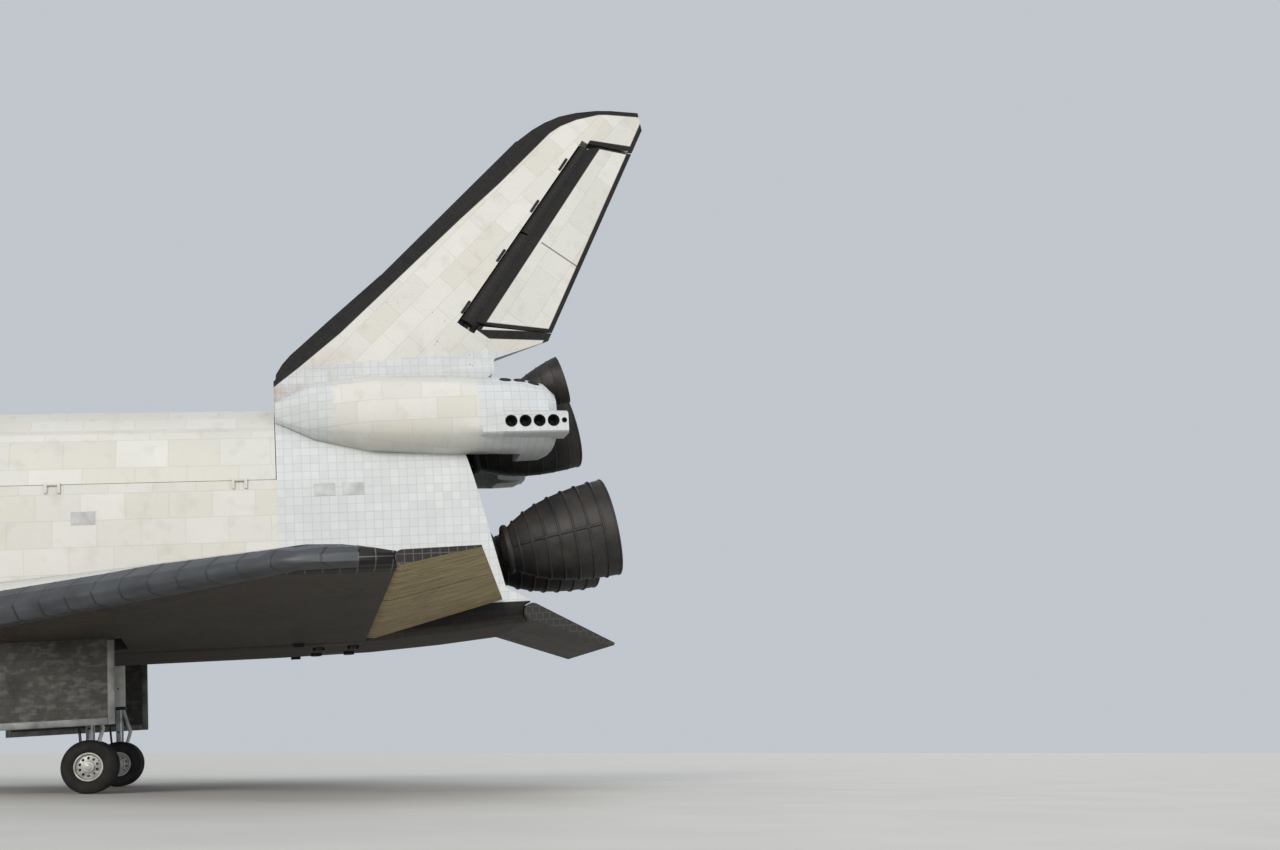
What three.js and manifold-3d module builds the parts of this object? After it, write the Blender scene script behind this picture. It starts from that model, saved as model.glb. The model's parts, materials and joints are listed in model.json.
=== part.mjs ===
// A winged orbital spaceplane standing on its landing gear, full size, in millimetres.
// Inside the orbiter group x runs aft from the nose tip, y to starboard, z up from the belly.
// The group is pitched so that all six tyres stand on z = 0.
import * as THREE from "three";
import { mergeVertices } from "three/addons/utils/BufferGeometryUtils.js";
import Module from "manifold-3d";

const wasm = await Module();
wasm.setup();

const PI = Math.PI;
const rad = THREE.MathUtils.degToRad;
const lerp = THREE.MathUtils.lerp;
const vec = (x, y, z) => new THREE.Vector3(x, y, z);

// Driving dimensions
const NOSE_DOWN_DEG = 3.6; // pitch of the parked orbiter
const SEAT = 0.4; // gap between neighbours that rest on each other
const SLIVER = 0.02; // edges and corners smaller than this are left out of a piece
const KNUCKLE_SIDES = 8;
const WALL = 150; // cabin wall and payload door thickness
const NOSE_CAP_END = 1000;
const CABIN_END = 8814;
const BAY_END = 27229;
const BASE_END = 32900;
const HULL_HALF = 2591;
const SHOULDER_Z = 3330;
const HULL_TOP = SHOULDER_Z + HULL_HALF;
const ARC_STEPS = 8; // steps of the quarter arc from shoulder to top
const CORNER_STEPS = 3;
const SILL_DEG = 90 / ARC_STEPS; // where the payload doors start on the arc
const BAY_RADIUS = 2286;
const BAY_CENTRE_Z = 3378;

const CABIN_FRONT = 4650;
const CABIN_FLOOR = 1350;
const DECK_BOTTOM = 3350;
const DECK_TOP = 3500;

const STRAKE_TIP = { x: 6900, y: 2600 };
const WING_BREAK = { x: 20300, y: 5055 };
const WING_TIP_Y = 11895;
const HINGE_X = 29261; // elevon hinge line
const HINGE_ROOT = { y: 2950, z: 520, radius: 440 };
const HINGE_TIP = { y: 11700, z: 877, radius: 136 };
const ELEVON_SPLIT_Y = 7950;
const ELEVON_TE_ROOT = { x: 32258, y: 3020 };
const ELEVON_TE_TIP = { x: 30658, y: 11895 };
const ELEVON_REST_DEG = 6; // trailing edge up
const HINGE_RIB = { thick: 40, height: 340, reach: 520, inset: 40 };
const ELEVON_COVE = 25; // room between the elevons' rolls and the wing

const FIN_FOOT_Z = 5918;
const FIN_TIP_Z = 13937;
const FIN_LE_X = 26444;
const FIN_TE_X = 33310;
const FIN_TE_SLOPE = 0.4931;
const RUDDER_LOW_Z = 7897;
const RUDDER_HIGH_Z = 13005;
const RUDDER_HINGE_X = 31960;
const RUDDER_HINGE_SLOPE = 0.6958;
const FIN_HALF_LOW = 340; // half thickness at the rudder hinge, low and high
const FIN_HALF_HIGH = 190;

const FLAP_HINGE = { x: 32944, z: 508 };
const FLAP_RADIUS = 200;
const FLAP_CHORD = 2060;
const FLAP_HALF_SPAN = 3020;
const FLAP_REST_DEG = 21; // trailing edge down
const FLAP_LUG_Y = 1500;
const FLAP_LUG = 100;

const DOME_RADIUS = 1150; // engine heat shield, a ball about the gimbal
const DOME_CLEARANCE = 40;
const ENGINE_SIDES = 24;
// name, gimbal x, y, z, pitch up, yaw outboard
const ENGINES = [
  ["1", 30734, 0, 4470, 16, 0],
  ["2", 31318, -1346, 1920, 10, -3.5],
  ["3", 31318, 1346, 1920, 10, 3.5],
];

const MAIN_WHEEL = { x: 23200, y: 3455, spread: 355, radius: 565, half: 203, rim: 300, sides: 24, shaft: 70 };
const NOSE_WHEEL = { x: 3607, y: 0, spread: 262, radius: 406, half: 112, rim: 205, sides: 20, shaft: 45 };
const MAIN_AXLE_Z = -2415;
const MAIN_WELL = { x0: 20300, x1: 23950, y0: 2880, y1: 4560, roof: 1050 };
const NOSE_WELL = { x0: 1900, x1: 3850, half: 500, roof: 1450 };

// Colours read from the photograph: colour, roughness, metalness
const FINISHES = {
  blanket: ["#d9d4c8", 0.9, 0],
  whiteTile: ["#dfe1e2", 0.7, 0],
  blackTile: ["#2b2a29", 0.8, 0],
  scorchedTile: ["#6d5f4b", 0.8, 0],
  carbonEdge: ["#6d7076", 0.6, 0.1],
  engine: ["#3a3b40", 0.5, 0.6],
  steel: ["#8b8d90", 0.35, 0.9],
  gear: ["#c9cac8", 0.45, 0.4],
  tyre: ["#1d1d1e", 0.95, 0],
  glass: ["#1c2630", 0.08, 0],
  interior: ["#8d9088", 0.7, 0.1],
  radiator: ["#cfd3d6", 0.2, 0.8],
};

const materials = {};
for (const [name, [color, roughness, metalness]] of Object.entries(FINISHES))
  materials[name] = new THREE.MeshStandardMaterial({ color, roughness, metalness });

// Solids

// A closed geometry as a solid that can be joined and cut.
function solid(geometry) {
  const bare = geometry.clone();
  bare.deleteAttribute("normal");
  bare.deleteAttribute("uv");
  const merged = mergeVertices(bare, 1e-3);
  return new wasm.Manifold(
    new wasm.Mesh({
      numProp: 3,
      vertProperties: merged.attributes.position.array,
      triVerts: new Uint32Array(merged.index.array),
    }),
  );
}

function geometryOf(made) {
  const { vertProperties, triVerts } = made.getMesh();
  const geometry = new THREE.BufferGeometry();
  geometry.setAttribute("position", new THREE.BufferAttribute(vertProperties, 3));
  geometry.setIndex(new THREE.BufferAttribute(triVerts, 1));
  return geometry;
}

function joined(first, ...rest) {
  return rest.reduce((sum, piece) => sum.add(piece), first);
}

function cut(first, ...rest) {
  return rest.reduce((left, piece) => left.subtract(piece), first);
}

function piece(name, made, finish) {
  const mesh = new THREE.Mesh(geometryOf(made.simplify(SLIVER)), materials[finish]);
  mesh.name = name;
  return mesh;
}

// The starboard piece, and its mirror image on the port side.
function pair(name, made, finish) {
  const right = piece(name + "_right", made, finish);
  const left = piece(name + "_left", made, finish);
  left.scale.y = -1;
  return [left, right];
}

// A closed skin over loops of equal length; each loop runs anticlockwise seen from the last one.
function loft(loops) {
  const ring = loops[0].length;
  const last = (loops.length - 1) * ring;
  const index = [];
  for (let s = 0; s < last; s += ring)
    for (let i = 0; i < ring; i++) {
      const a = s + i;
      const b = s + ((i + 1) % ring);
      index.push(a, b, a + ring, b, b + ring, a + ring);
    }
  for (let i = 1; i + 1 < ring; i++) index.push(0, i + 1, i, last, last + i, last + i + 1);
  const geometry = new THREE.BufferGeometry().setFromPoints(loops.flat());
  geometry.setIndex(index);
  return solid(geometry);
}

function box(x0, x1, y0, y1, z0, z1) {
  const geometry = new THREE.BoxGeometry(x1 - x0, y1 - y0, z1 - z0);
  return solid(geometry.translate((x0 + x1) / 2, (y0 + y1) / 2, (z0 + z1) / 2));
}

// A round bar of changing radius between two points.
function bar(from, to, radius, endRadius = radius, sides = 12, turn = 0) {
  const along = to.clone().sub(from);
  const geometry = new THREE.CylinderGeometry(endRadius, radius, along.length(), sides);
  geometry.rotateY(turn);
  geometry.translate(0, along.length() / 2, 0);
  const aim = new THREE.Quaternion().setFromUnitVectors(vec(0, 1, 0), along.normalize());
  return solid(geometry.applyQuaternion(aim).translate(from.x, from.y, from.z));
}

// A hole that a round bar of the same sides turns in: its flats touch the circle round the bar's corners.
function bore(from, to, radius, sides = 12) {
  const grown = (radius + SEAT) / Math.cos(PI / sides);
  return bar(from, to, grown, grown, sides, PI / sides);
}

// A flat outline, drawn in two axes, given a thickness along the third.
function slab(points, from, to, plane) {
  const shape = new THREE.Shape(points.map(([a, b]) => new THREE.Vector2(a, b)));
  const geometry = new THREE.ExtrudeGeometry(shape, { depth: to - from, bevelEnabled: false });
  geometry.translate(0, 0, plane === "xz" ? -to : from);
  const axes = {
    xy: new THREE.Matrix4(),
    xz: new THREE.Matrix4().makeBasis(vec(1, 0, 0), vec(0, 0, 1), vec(0, -1, 0)),
    yz: new THREE.Matrix4().makeBasis(vec(0, 1, 0), vec(0, 0, 1), vec(1, 0, 0)),
  };
  return solid(geometry.applyMatrix4(axes[plane]));
}

// A turned shape: rows of radius and place along its axis, which is made to run along +y.
function turned(rows, sides, phase = 0) {
  const points = rows.map(([radius, along]) => new THREE.Vector2(radius, along));
  return solid(new THREE.LatheGeometry(points, sides, phase));
}

function placed(made, matrix) {
  return solid(geometryOf(made).applyMatrix4(matrix));
}

// Hull

// x, half width, bottom, shoulder, top, radius of the lower corner
const HULL_ROWS = [
  [0, 60, 1720, 1778, 1840, 50],
  [120, 420, 1330, 1760, 2150, 300],
  [450, 780, 960, 1750, 2480, 460],
  [1000, 1110, 640, 1740, 2800, 520],
  [2000, 1540, 330, 1800, 3290, 560],
  [3100, 1870, 160, 1900, 3740, 560],
  [4500, 2160, 60, 2100, 4290, 540],
  [5300, 2300, 30, 2350, 5020, 520],
  [6200, 2440, 10, 2700, 5600, 480],
  [7000, 2540, 0, 3000, 5810, 440],
  [8814, HULL_HALF, 0, SHOULDER_Z, HULL_TOP, 420],
  [BAY_END, HULL_HALF, 0, SHOULDER_Z, HULL_TOP, 420],
  [29500, 2740, 40, 3300, 5900, 420],
  [31300, 2860, 150, 3250, 5800, 400],
  [BASE_END, 2960, 300, 3200, 5600, 380],
];

function hullRow(x) {
  const next = Math.max(1, HULL_ROWS.findIndex((row) => row[0] >= x));
  const [low, high] = [HULL_ROWS[next - 1], HULL_ROWS[next]];
  const share = (x - low[0]) / (high[0] - low[0]);
  return low.map((value, column) => lerp(value, high[column], share));
}

// Flat belly, round lower corners, straight sides up to the shoulder and an arc over the top.
function hullLoop([x, halfWidth, bottom, shoulder, top, corner], inset) {
  const half = halfWidth - inset;
  const low = bottom + inset;
  const radius = Math.max(corner - inset, 40);
  const side = [];
  for (let k = 0; k <= CORNER_STEPS; k++) {
    const turn = (PI / 2) * (k / CORNER_STEPS - 1);
    side.push([half - radius + radius * Math.cos(turn), low + radius + radius * Math.sin(turn)]);
  }
  for (let k = 0; k < ARC_STEPS; k++) {
    const turn = (PI / 2) * (k / ARC_STEPS);
    side.push([half * Math.cos(turn), shoulder + (top - inset - shoulder) * Math.sin(turn)]);
  }
  const other = side.map(([y, z]) => [-y, z]).reverse();
  return [...side, [0, top - inset], ...other].map(([y, z]) => vec(x, y, z));
}

function hull(from, to, inset = 0) {
  const rows = HULL_ROWS.filter(([x]) => x > from && x < to);
  return loft([hullRow(from), ...rows, hullRow(to)].map((row) => hullLoop(row, inset)));
}

// The matrix of a frame on the hull's upper skin: x aft along it, z straight out of it.
function onHull(x, turnDeg) {
  const at = (px, turn) => {
    const [, half, , shoulder, top] = hullRow(px);
    return vec(px, half * Math.cos(turn), shoulder + (top - shoulder) * Math.sin(turn));
  };
  const step = 20;
  const turn = rad(turnDeg);
  const here = at(x, turn);
  const aft = at(x + step, turn).sub(here).normalize();
  const round = at(x, turn + 0.01).sub(here).normalize();
  const out = round.cross(aft).normalize();
  return new THREE.Matrix4().makeBasis(aft, out.clone().cross(aft), out).setPosition(here);
}

// place along the hull, angle round the arc, size along the hull, size round it, narrowing towards the top
const WINDSHIELD = [
  [5240, 79, 800, 640, 60],
  [5400, 57, 800, 700, 110],
  [5720, 37, 760, 620, 150],
];
const OVERHEAD = [[6700, 78, 620, 520, 0]];

// Cuts for a row of windows, on both sides.
function windowCuts(rows) {
  const cuts = [];
  for (const [x, turn, length, height, narrowing] of rows) {
    const [l, h] = [length / 2, height / 2];
    const outline = [
      [-l, -h],
      [l, -h + narrowing],
      [l, h - narrowing / 2],
      [-l, h],
    ];
    const cutter = placed(slab(outline, -420, 300, "xy"), onHull(x, turn));
    const other = new THREE.Matrix4().makeScale(1, -1, 1);
    const flipped = geometryOf(cutter).applyMatrix4(other);
    const index = flipped.index.array;
    for (let i = 0; i < index.length; i += 3) [index[i], index[i + 1]] = [index[i + 1], index[i]];
    cuts.push(cutter, solid(flipped));
  }
  return cuts;
}

const HATCH = {
  x: 7200,
  z: 2700,
  radius: 495,
  hole: 512,
  hingeY: -2582,
  hingeZ: 2178,
  knuckle: 30,
  length: 300,
};
const RCS_MODULE = { x0: 1350, x1: 3350, z: 2500 };
const FRONT_PAD = { x: 4150, half: 150, proud: 40 };

function cabinVoid(extra) {
  const inside = hull(CABIN_FRONT + extra, CABIN_END - WALL - extra, WALL + extra);
  return inside.intersect(box(0, CABIN_END, -3000, 3000, CABIN_FLOOR + extra, 9000));
}

function forwardFuselage() {
  const { x, z, hole, hingeY, hingeZ, knuckle, length } = HATCH;
  const shell = cut(
    hull(NOSE_CAP_END, CABIN_END),
    cabinVoid(0),
    box(RCS_MODULE.x0, RCS_MODULE.x1, -3000, 3000, RCS_MODULE.z, 6000),
    box(NOSE_WELL.x0, NOSE_WELL.x1, -NOSE_WELL.half, NOSE_WELL.half, -500, NOSE_WELL.roof),
    bar(vec(x, -3500, z), vec(x, -2000, z), hole, hole, 28),
    ...windowCuts(WINDSHIELD),
    ...windowCuts(OVERHEAD),
  );
  const padBottom = hullRow(FRONT_PAD.x)[2] - FRONT_PAD.proud;
  const [padFrom, padTo] = [FRONT_PAD.x - FRONT_PAD.half, FRONT_PAD.x + FRONT_PAD.half];
  const pad = box(padFrom, padTo, -FRONT_PAD.half, FRONT_PAD.half, padBottom, padBottom + 300);
  const ears = [-1, 1].map((end) => {
    const near = x + (end * (length + 2 * SEAT)) / 2;
    const far = near + end * 70;
    const [x0, x1] = [Math.min(near, far), Math.max(near, far)];
    return joined(
      bar(vec(x0, hingeY, hingeZ), vec(x1, hingeY, hingeZ), knuckle, knuckle, KNUCKLE_SIDES),
      box(x0, x1, hingeY, hingeY + 120, hingeZ - knuckle, hingeZ),
    );
  });
  return joined(shell, pad, ...ears);
}

function sideHatch() {
  const { x, z, radius, hingeY, hingeZ, knuckle, length } = HATCH;
  const wall = hull(NOSE_CAP_END, CABIN_END).subtract(hull(NOSE_CAP_END, CABIN_END, WALL));
  const plug = wall.intersect(bar(vec(x, -3500, z), vec(x, -2000, z), radius, radius, 28));
  const [start, end] = [x - length / 2, x + length / 2];
  return joined(
    plug,
    bar(vec(start, hingeY, hingeZ), vec(end, hingeY, hingeZ), knuckle, knuckle, KNUCKLE_SIDES),
    box(start, end, hingeY - 25, hingeY + 25, hingeZ, z - radius + 160),
    box(start, end, hingeY - 25, hingeY + 100, z - radius + 60, z - radius + 160),
  );
}

// A pane band that lies against the inside of the cabin wall, between two places along the hull.
function glassBand(from, to, bottom) {
  const lining = (inset) => hull(CABIN_FRONT, CABIN_END - WALL, inset);
  const band = lining(WALL + SEAT).subtract(lining(WALL + 30));
  return band.intersect(box(from, to, -3000, 3000, bottom, 9000));
}

function flightDeck() {
  const floor = cabinVoid(SEAT).intersect(box(0, 9000, -3000, 3000, DECK_BOTTOM, DECK_TOP));
  const instruments = slab(
    [[5000, DECK_TOP - 50], [5500, DECK_TOP - 50], [5450, 3950], [5200, 4100], [5000, 4050]],
    -1000,
    1000,
    "xz",
  );
  const seats = [-1, 1].flatMap((side) => [
    box(6000, 6550, side * 650 - 260, side * 650 + 260, DECK_TOP - 50, 3950),
    box(6450, 6600, side * 650 - 260, side * 650 + 260, DECK_TOP - 50, 4750),
  ]);
  const ladderHole = box(7600, 8300, -1700, -1000, 3000, 4000);
  return cut(joined(floor, instruments, ...seats), ladderHole);
}

// Payload bay

const BAY_AXIS = { y: 2585, z: SHOULDER_Z + HULL_HALF * Math.sin(rad(SILL_DEG)), knuckle: 35, length: 220 };
const DOOR_HINGE_X = [9600, 13650, 18000, 22350, 26400];
const DOOR_END_GAP = 16;
const RADIATOR = { x0: 9100, x1: 18300, from: 2, to: 7, depth: 60 };

// The region above the sills, dropped by a gap.
function aboveSills(gap) {
  const edge = [3200 * Math.cos(rad(SILL_DEG)), SHOULDER_Z + 3200 * Math.sin(rad(SILL_DEG)) - gap];
  const outline = [[0, SHOULDER_Z - gap], edge, [3200, 9000], [-3200, 9000], [-edge[0], edge[1]]];
  return slab(outline, CABIN_END - 50, BAY_END + 50, "yz");
}

function midFuselage() {
  const wall = BAY_RADIUS + 40;
  const channel = new THREE.Shape();
  channel.absarc(0, BAY_CENTRE_Z, wall, PI, 2 * PI);
  channel.lineTo(wall, 8000);
  channel.lineTo(-wall, 8000);
  const outline = channel.getPoints(10).map((p) => [p.x, p.y]);
  const trough = cut(
    hull(CABIN_END + SEAT, BAY_END - SEAT),
    aboveSills(12),
    slab(outline, CABIN_END - 50, BAY_END + 50, "yz"),
  );
  const ears = [];
  const { y, z, knuckle, length } = BAY_AXIS;
  for (const x of DOOR_HINGE_X)
    for (const side of [-1, 1])
      for (const end of [-1, 1]) {
        const near = x + end * (length / 2 + SEAT);
        const far = near + end * 60;
        const [x0, x1] = [Math.min(near, far), Math.max(near, far)];
        const [y0, y1] = side > 0 ? [y - 50, y + 25] : [-y - 25, -y + 50];
        ears.push(
          bar(vec(x0, side * y, z), vec(x1, side * y, z), knuckle, knuckle, KNUCKLE_SIDES),
          box(x0, x1, y0, y1, z - 200, z - 14),
        );
      }
  return joined(trough, ...ears);
}

// A strip of the arc between two of its steps, between two radii.
function arcStrip(x0, x1, firstStep, lastStep, outer, inner) {
  const points = [];
  for (let k = firstStep; k <= lastStep; k++) points.push([outer, k]);
  for (let k = lastStep; k >= firstStep; k--) points.push([inner, k]);
  const outline = points.map(([radius, k]) => {
    const turn = (PI / 2) * (k / ARC_STEPS);
    return [radius * Math.cos(turn), SHOULDER_Z + radius * Math.sin(turn)];
  });
  return slab(outline, x0, x1, "yz");
}

function payloadDoor() {
  const [x0, x1] = [CABIN_END + DOOR_END_GAP, BAY_END - DOOR_END_GAP];
  const panel = arcStrip(x0, x1, 1, ARC_STEPS, HULL_HALF, HULL_HALF - WALL);
  const middleGap = box(x0 - 10, x1 + 10, -10, 5, 5000, 7000);
  const { y, z, knuckle, length } = BAY_AXIS;
  const knuckles = DOOR_HINGE_X.flatMap((x) => [
    bar(vec(x - length / 2, y, z), vec(x + length / 2, y, z), knuckle, knuckle, KNUCKLE_SIDES),
    box(x - length / 2, x + length / 2, y - 110, y, z - 4, z + knuckle),
  ]);
  return cut(joined(panel, ...knuckles), middleGap);
}

function radiator() {
  const outer = HULL_HALF - WALL - SEAT;
  return arcStrip(RADIATOR.x0, RADIATOR.x1, RADIATOR.from, RADIATOR.to, outer, outer - RADIATOR.depth);
}

// Engines

// Place and aim of one engine: x aft along its axis, from the gimbal.
function engineFrame([, x, y, z, pitch, yaw]) {
  const group = new THREE.Group();
  group.position.set(x, y, z);
  group.rotation.set(0, -rad(pitch), rad(yaw), "ZYX");
  group.updateMatrix();
  return group;
}

const GIMBAL = { pin: 60, reach: 200, block: 90, lugInner: 110, lugHalf: 80 };
// distance from the gimbal, outer radius of the bell
const BELL = [
  [1180, 300],
  [1380, 480],
  [1690, 690],
  [2080, 880],
  [2570, 1030],
  [3150, 1135],
  [3920, 1195],
];
const BELL_WALL = 40;
const ENGINE_ROOM = { swing: 13.6, margin: 30, end: 5000 }; // both swings at once, in degrees

const alongX = (made) => placed(made, new THREE.Matrix4().makeRotationZ(-PI / 2));

function gimbalBlock() {
  const { pin, reach, block } = GIMBAL;
  return joined(
    box(-block, block, -block, block, -block, block),
    bar(vec(0, -reach, 0), vec(0, reach, 0), pin),
    bar(vec(0, 0, -reach), vec(0, 0, reach), pin),
  );
}

// The thrust post that carries an engine inside its pocket, with two ears for the cross pin.
function thrustPost() {
  const { pin, reach, lugInner, lugHalf } = GIMBAL;
  return cut(
    joined(
      bar(vec(-1350, 0, 0), vec(-150, 0, 0), 250, 250, 10),
      box(-200, 80, lugInner, reach, -lugHalf, lugHalf),
      box(-200, 80, -reach, -lugInner, -lugHalf, lugHalf),
    ),
    bore(vec(0, -300, 0), vec(0, 300, 0), pin),
  );
}

// The room that the upper engine needs as it swings, which the fin and the pods leave free.
function engineRoom() {
  const rows = BELL.map(([along, radius]) => {
    const reach = Math.hypot(along, radius) + ENGINE_ROOM.margin;
    const turn = Math.atan2(radius, along) + rad(ENGINE_ROOM.swing);
    return [reach * Math.sin(turn) + ENGINE_ROOM.margin, reach * Math.cos(turn)];
  });
  const [lastRadius] = rows.at(-1);
  const end = [[lastRadius, ENGINE_ROOM.end], [0, ENGINE_ROOM.end]];
  const profile = [[0, 400], [DOME_RADIUS, 400], ...rows, ...end];
  return placed(alongX(turned(profile, ENGINE_SIDES)), engineFrame(ENGINES[0]).matrix);
}

function mainEngine() {
  const { pin, reach, lugInner, lugHalf } = GIMBAL;
  const domePoint = (deg) => [DOME_RADIUS * Math.sin(rad(deg)), DOME_RADIUS * Math.cos(rad(deg))];
  const dome = [72, 55, 38, 22].map(domePoint);
  const outside = BELL.map(([along, radius]) => [radius, along]);
  const inside = BELL.slice(1).reverse().map(([along, radius]) => [radius - BELL_WALL, along]);
  const profile = [[0, 150], [300, 150], [1060, 255], ...dome, ...outside, ...inside, [150, 1220], [0, 1220]];
  return cut(
    joined(
      alongX(turned(profile, ENGINE_SIDES)),
      box(-lugHalf, 300, -lugHalf, lugHalf, lugInner, reach),
      box(-lugHalf, 300, -lugHalf, lugHalf, -reach, -lugInner),
    ),
    bore(vec(0, 0, -300), vec(0, 0, 300), pin),
  );
}

// Fin and rudder

const finLeadingX = (z) => FIN_LE_X + (z - FIN_FOOT_Z);
const finTrailingX = (z) => FIN_TE_X + (z - FIN_FOOT_Z) * FIN_TE_SLOPE;
const rudderHingeX = (z) => RUDDER_HINGE_X + (z - RUDDER_LOW_Z) * RUDDER_HINGE_SLOPE;
const finHalf = (z) =>
  lerp(FIN_HALF_LOW, FIN_HALF_HIGH, (z - RUDDER_LOW_Z) / (RUDDER_HIGH_Z - RUDDER_LOW_Z));

const RUDDER_LEAN = Math.atan(RUDDER_HINGE_SLOPE);
const ROLL = { start: 260, end: 150, groove: 60, depth: 100, boss: 120, bossFoot: 150 };
const ROLL_COVE = 62; // room between the rudder's roll and the fin
// room round the rudder: at its ends beside the hinge and further aft, over the roll, between its halves
const RUDDER_GAP = { low: 26, lowHinge: 128, high: 45, highHinge: 165, roll: 8, middle: 6 };
const RUDDER_GAP_RUN = { low: 800, high: 300 }; // how far aft the wide gaps beside the hinge reach
const RUDDER_LOW_RISE = 150; // the lower edge meets the hinge line this far above its end
const RUDDER_TILT = { low: 0.07, high: 0.14 }; // both edges drop towards the trailing edge
const RUDDER_REACH = 4000;
const FIN_FAIRING = [
  // x, half width, top
  [30300, 300, 6900],
  [31400, 400, 7120],
  [32700, 400, 7190],
];
const FIN_STUB = { front: 32450, x0: 32745, z0: 7200, x1: 34265, z1: 7727 }; // underside behind the fairing
// the leading edge where it bends down to the roof, as x and z
const FIN_HEEL = [
  [27240, 5950],
  [27240, 6420],
  [27300, 6870],
  [27455, 7125],
  [27655, 7355],
  [27905, 7580],
  [28660, 8270],
  [29960, 9430],
];
const FIN_HEEL_HALF = 60;
// the rounded front corner of the tip, as x and z
const TIP_FRONT = [
  [33650, 13080],
  [34050, 13390],
  [34400, 13600],
  [34800, 13775],
  [35250, 13880],
  [35850, 13945],
];
const TIP_CHAMFER = { low: 13467, run: 97 };

// A point on the rudder's hinge line, at a height.
const hingePoint = (z) => vec(rudderHingeX(z), 0, z);

function finLoop(z) {
  const [lead, hinge, trail] = [finLeadingX(z), rudderHingeX(z), finTrailingX(z)];
  const half = finHalf(z);
  return [
    vec(lead, 0, z),
    vec(lead + 60, -60, z),
    vec(hinge, -half, z),
    vec(trail, -25, z),
    vec(trail, 25, z),
    vec(hinge, half, z),
    vec(lead + 60, 60, z),
  ];
}

const finBody = () => loft([5500, FIN_TIP_Z].map(finLoop));

// The region behind the rudder's hinge line, seen from the side, narrowed by gaps at both ends.
function rudderRegion({ low, lowHinge, high, highHinge }) {
  const lowZ = RUDDER_LOW_Z + RUDDER_LOW_RISE;
  const [lowX, highX] = [rudderHingeX(lowZ), rudderHingeX(RUDDER_HIGH_Z)];
  const lower = (run, gap) => [lowX + run, lowZ + gap - run * RUDDER_TILT.low];
  const upper = (run, gap) => [highX + run, RUDDER_HIGH_Z - gap - run * RUDDER_TILT.high];
  const outline = [
    [rudderHingeX(lowZ + lowHinge), lowZ + lowHinge],
    lower(RUDDER_GAP_RUN.low, low),
    lower(RUDDER_REACH, low),
    upper(RUDDER_REACH, high),
    upper(RUDDER_GAP_RUN.high, high),
    [rudderHingeX(RUDDER_HIGH_Z - highHinge), RUDDER_HIGH_Z - highHinge],
  ];
  return slab(outline, -900, 900, "xz");
}

// A point moved up along the rudder's hinge line.
function along(point, distance) {
  return point.clone().addScaledVector(vec(Math.sin(RUDDER_LEAN), 0, Math.cos(RUDDER_LEAN)), distance);
}

// The cone round the rudder's hinge line, grown by a margin, between two distances from the rudder's ends.
function rollCone(grown, startShift, endShift) {
  const from = along(hingePoint(RUDDER_LOW_Z), startShift);
  const to = along(hingePoint(RUDDER_HIGH_Z), -endShift);
  return bar(from, to, finHalf(from.z) + grown, finHalf(to.z) + grown, 24);
}

// The ring half way up the roll in which a tongue of each rudder panel turns.
function grooveRing(grown, innerGap) {
  const middleZ = (RUDDER_LOW_Z + RUDDER_HIGH_Z) / 2;
  const at = hingePoint(middleZ);
  const disc = (radius, half) => bar(along(at, -half), along(at, half), radius, radius, 24);
  const half = ROLL.groove / 2 + grown;
  return disc(800, half).subtract(disc(finHalf(middleZ) - ROLL.depth + innerGap, half + 10));
}

function fin() {
  const { front, x0, z0, x1, z1 } = FIN_STUB;
  const under = [[front, 5000], [front, 5970], [x0, z0], [x1, z1], [36500, z1], [36500, 5000]];
  const heel = slab([...FIN_HEEL, [29960, 9000], [28000, 5950]], -FIN_HEEL_HALF, FIN_HEEL_HALF, "xz");
  const aboveTip = [...TIP_FRONT, [35850, 14300], [33000, 14300], [33000, 13080]];
  const trail = finTrailingX(TIP_CHAMFER.low);
  const behindTip = [
    [trail, TIP_CHAMFER.low],
    [trail - TIP_CHAMFER.run, FIN_TIP_Z + 10],
    [38000, FIN_TIP_Z + 10],
    [38000, TIP_CHAMFER.low],
  ];
  const fairing = loft(
    FIN_FAIRING.map(([x, half, top]) => [
      vec(x, half, 5700),
      vec(x, half, top - 250),
      vec(x, half - 200, top),
      vec(x, 200 - half, top),
      vec(x, -half, top - 250),
      vec(x, -half, 5700),
    ]),
  );
  const foot = hingePoint(RUDDER_LOW_Z);
  const boss = bar(along(foot, -ROLL.bossFoot), along(foot, ROLL.start - SEAT), ROLL.boss);
  const plate = cut(
    finBody(),
    rudderRegion({ low: 0, lowHinge: 0, high: 0, highHinge: 0 }),
    rollCone(ROLL_COVE, 85, 20),
    ...[under, aboveTip, behindTip].map((outline) => slab(outline, -900, 900, "xz")),
    box(20000, BAY_END + 6, -900, 900, 5000, 9000),
  );
  return cut(joined(plate, heel, fairing, boss), hull(BAY_END, BASE_END, -SEAT), engineRoom());
}

const rudderShaft = () => rollCone(0, ROLL.start, ROLL.end).subtract(grooveRing(0, 0));

// The starboard half of the split rudder.
function rudderPanel() {
  const hollow = rollCone(RUDDER_GAP.roll, -600, -600).subtract(grooveRing(-SEAT, 6));
  return cut(
    finBody().intersect(rudderRegion(RUDDER_GAP)),
    hollow,
    box(20000, 40000, -900, RUDDER_GAP.middle / 2, 5000, 15000),
  );
}

// Aft fuselage

const BASE_LINE = [
  // the sloping base heat shield, seen from the side
  [BASE_END + 10, 780],
  [32350, 1100],
  [31600, 4300],
  [31250, 6200],
];
const UMBILICAL = { x0: 27900, x1: 29100, y0: 1150, y1: 2200, depth: 60, gap: 8, knuckle: 28, length: 160 };
const umbilicalX = (UMBILICAL.x0 + UMBILICAL.x1) / 2;
const bellyZ = hullRow(UMBILICAL.x0)[2]; // the doors are hung level with the forward edge
const UMBILICAL_AXIS = { y: UMBILICAL.y0 - 10, z: bellyZ - 45 };
const AFT_PAD = { x: 27620, y: 2440, half: 120, bottom: -40, top: 330 };

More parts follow.
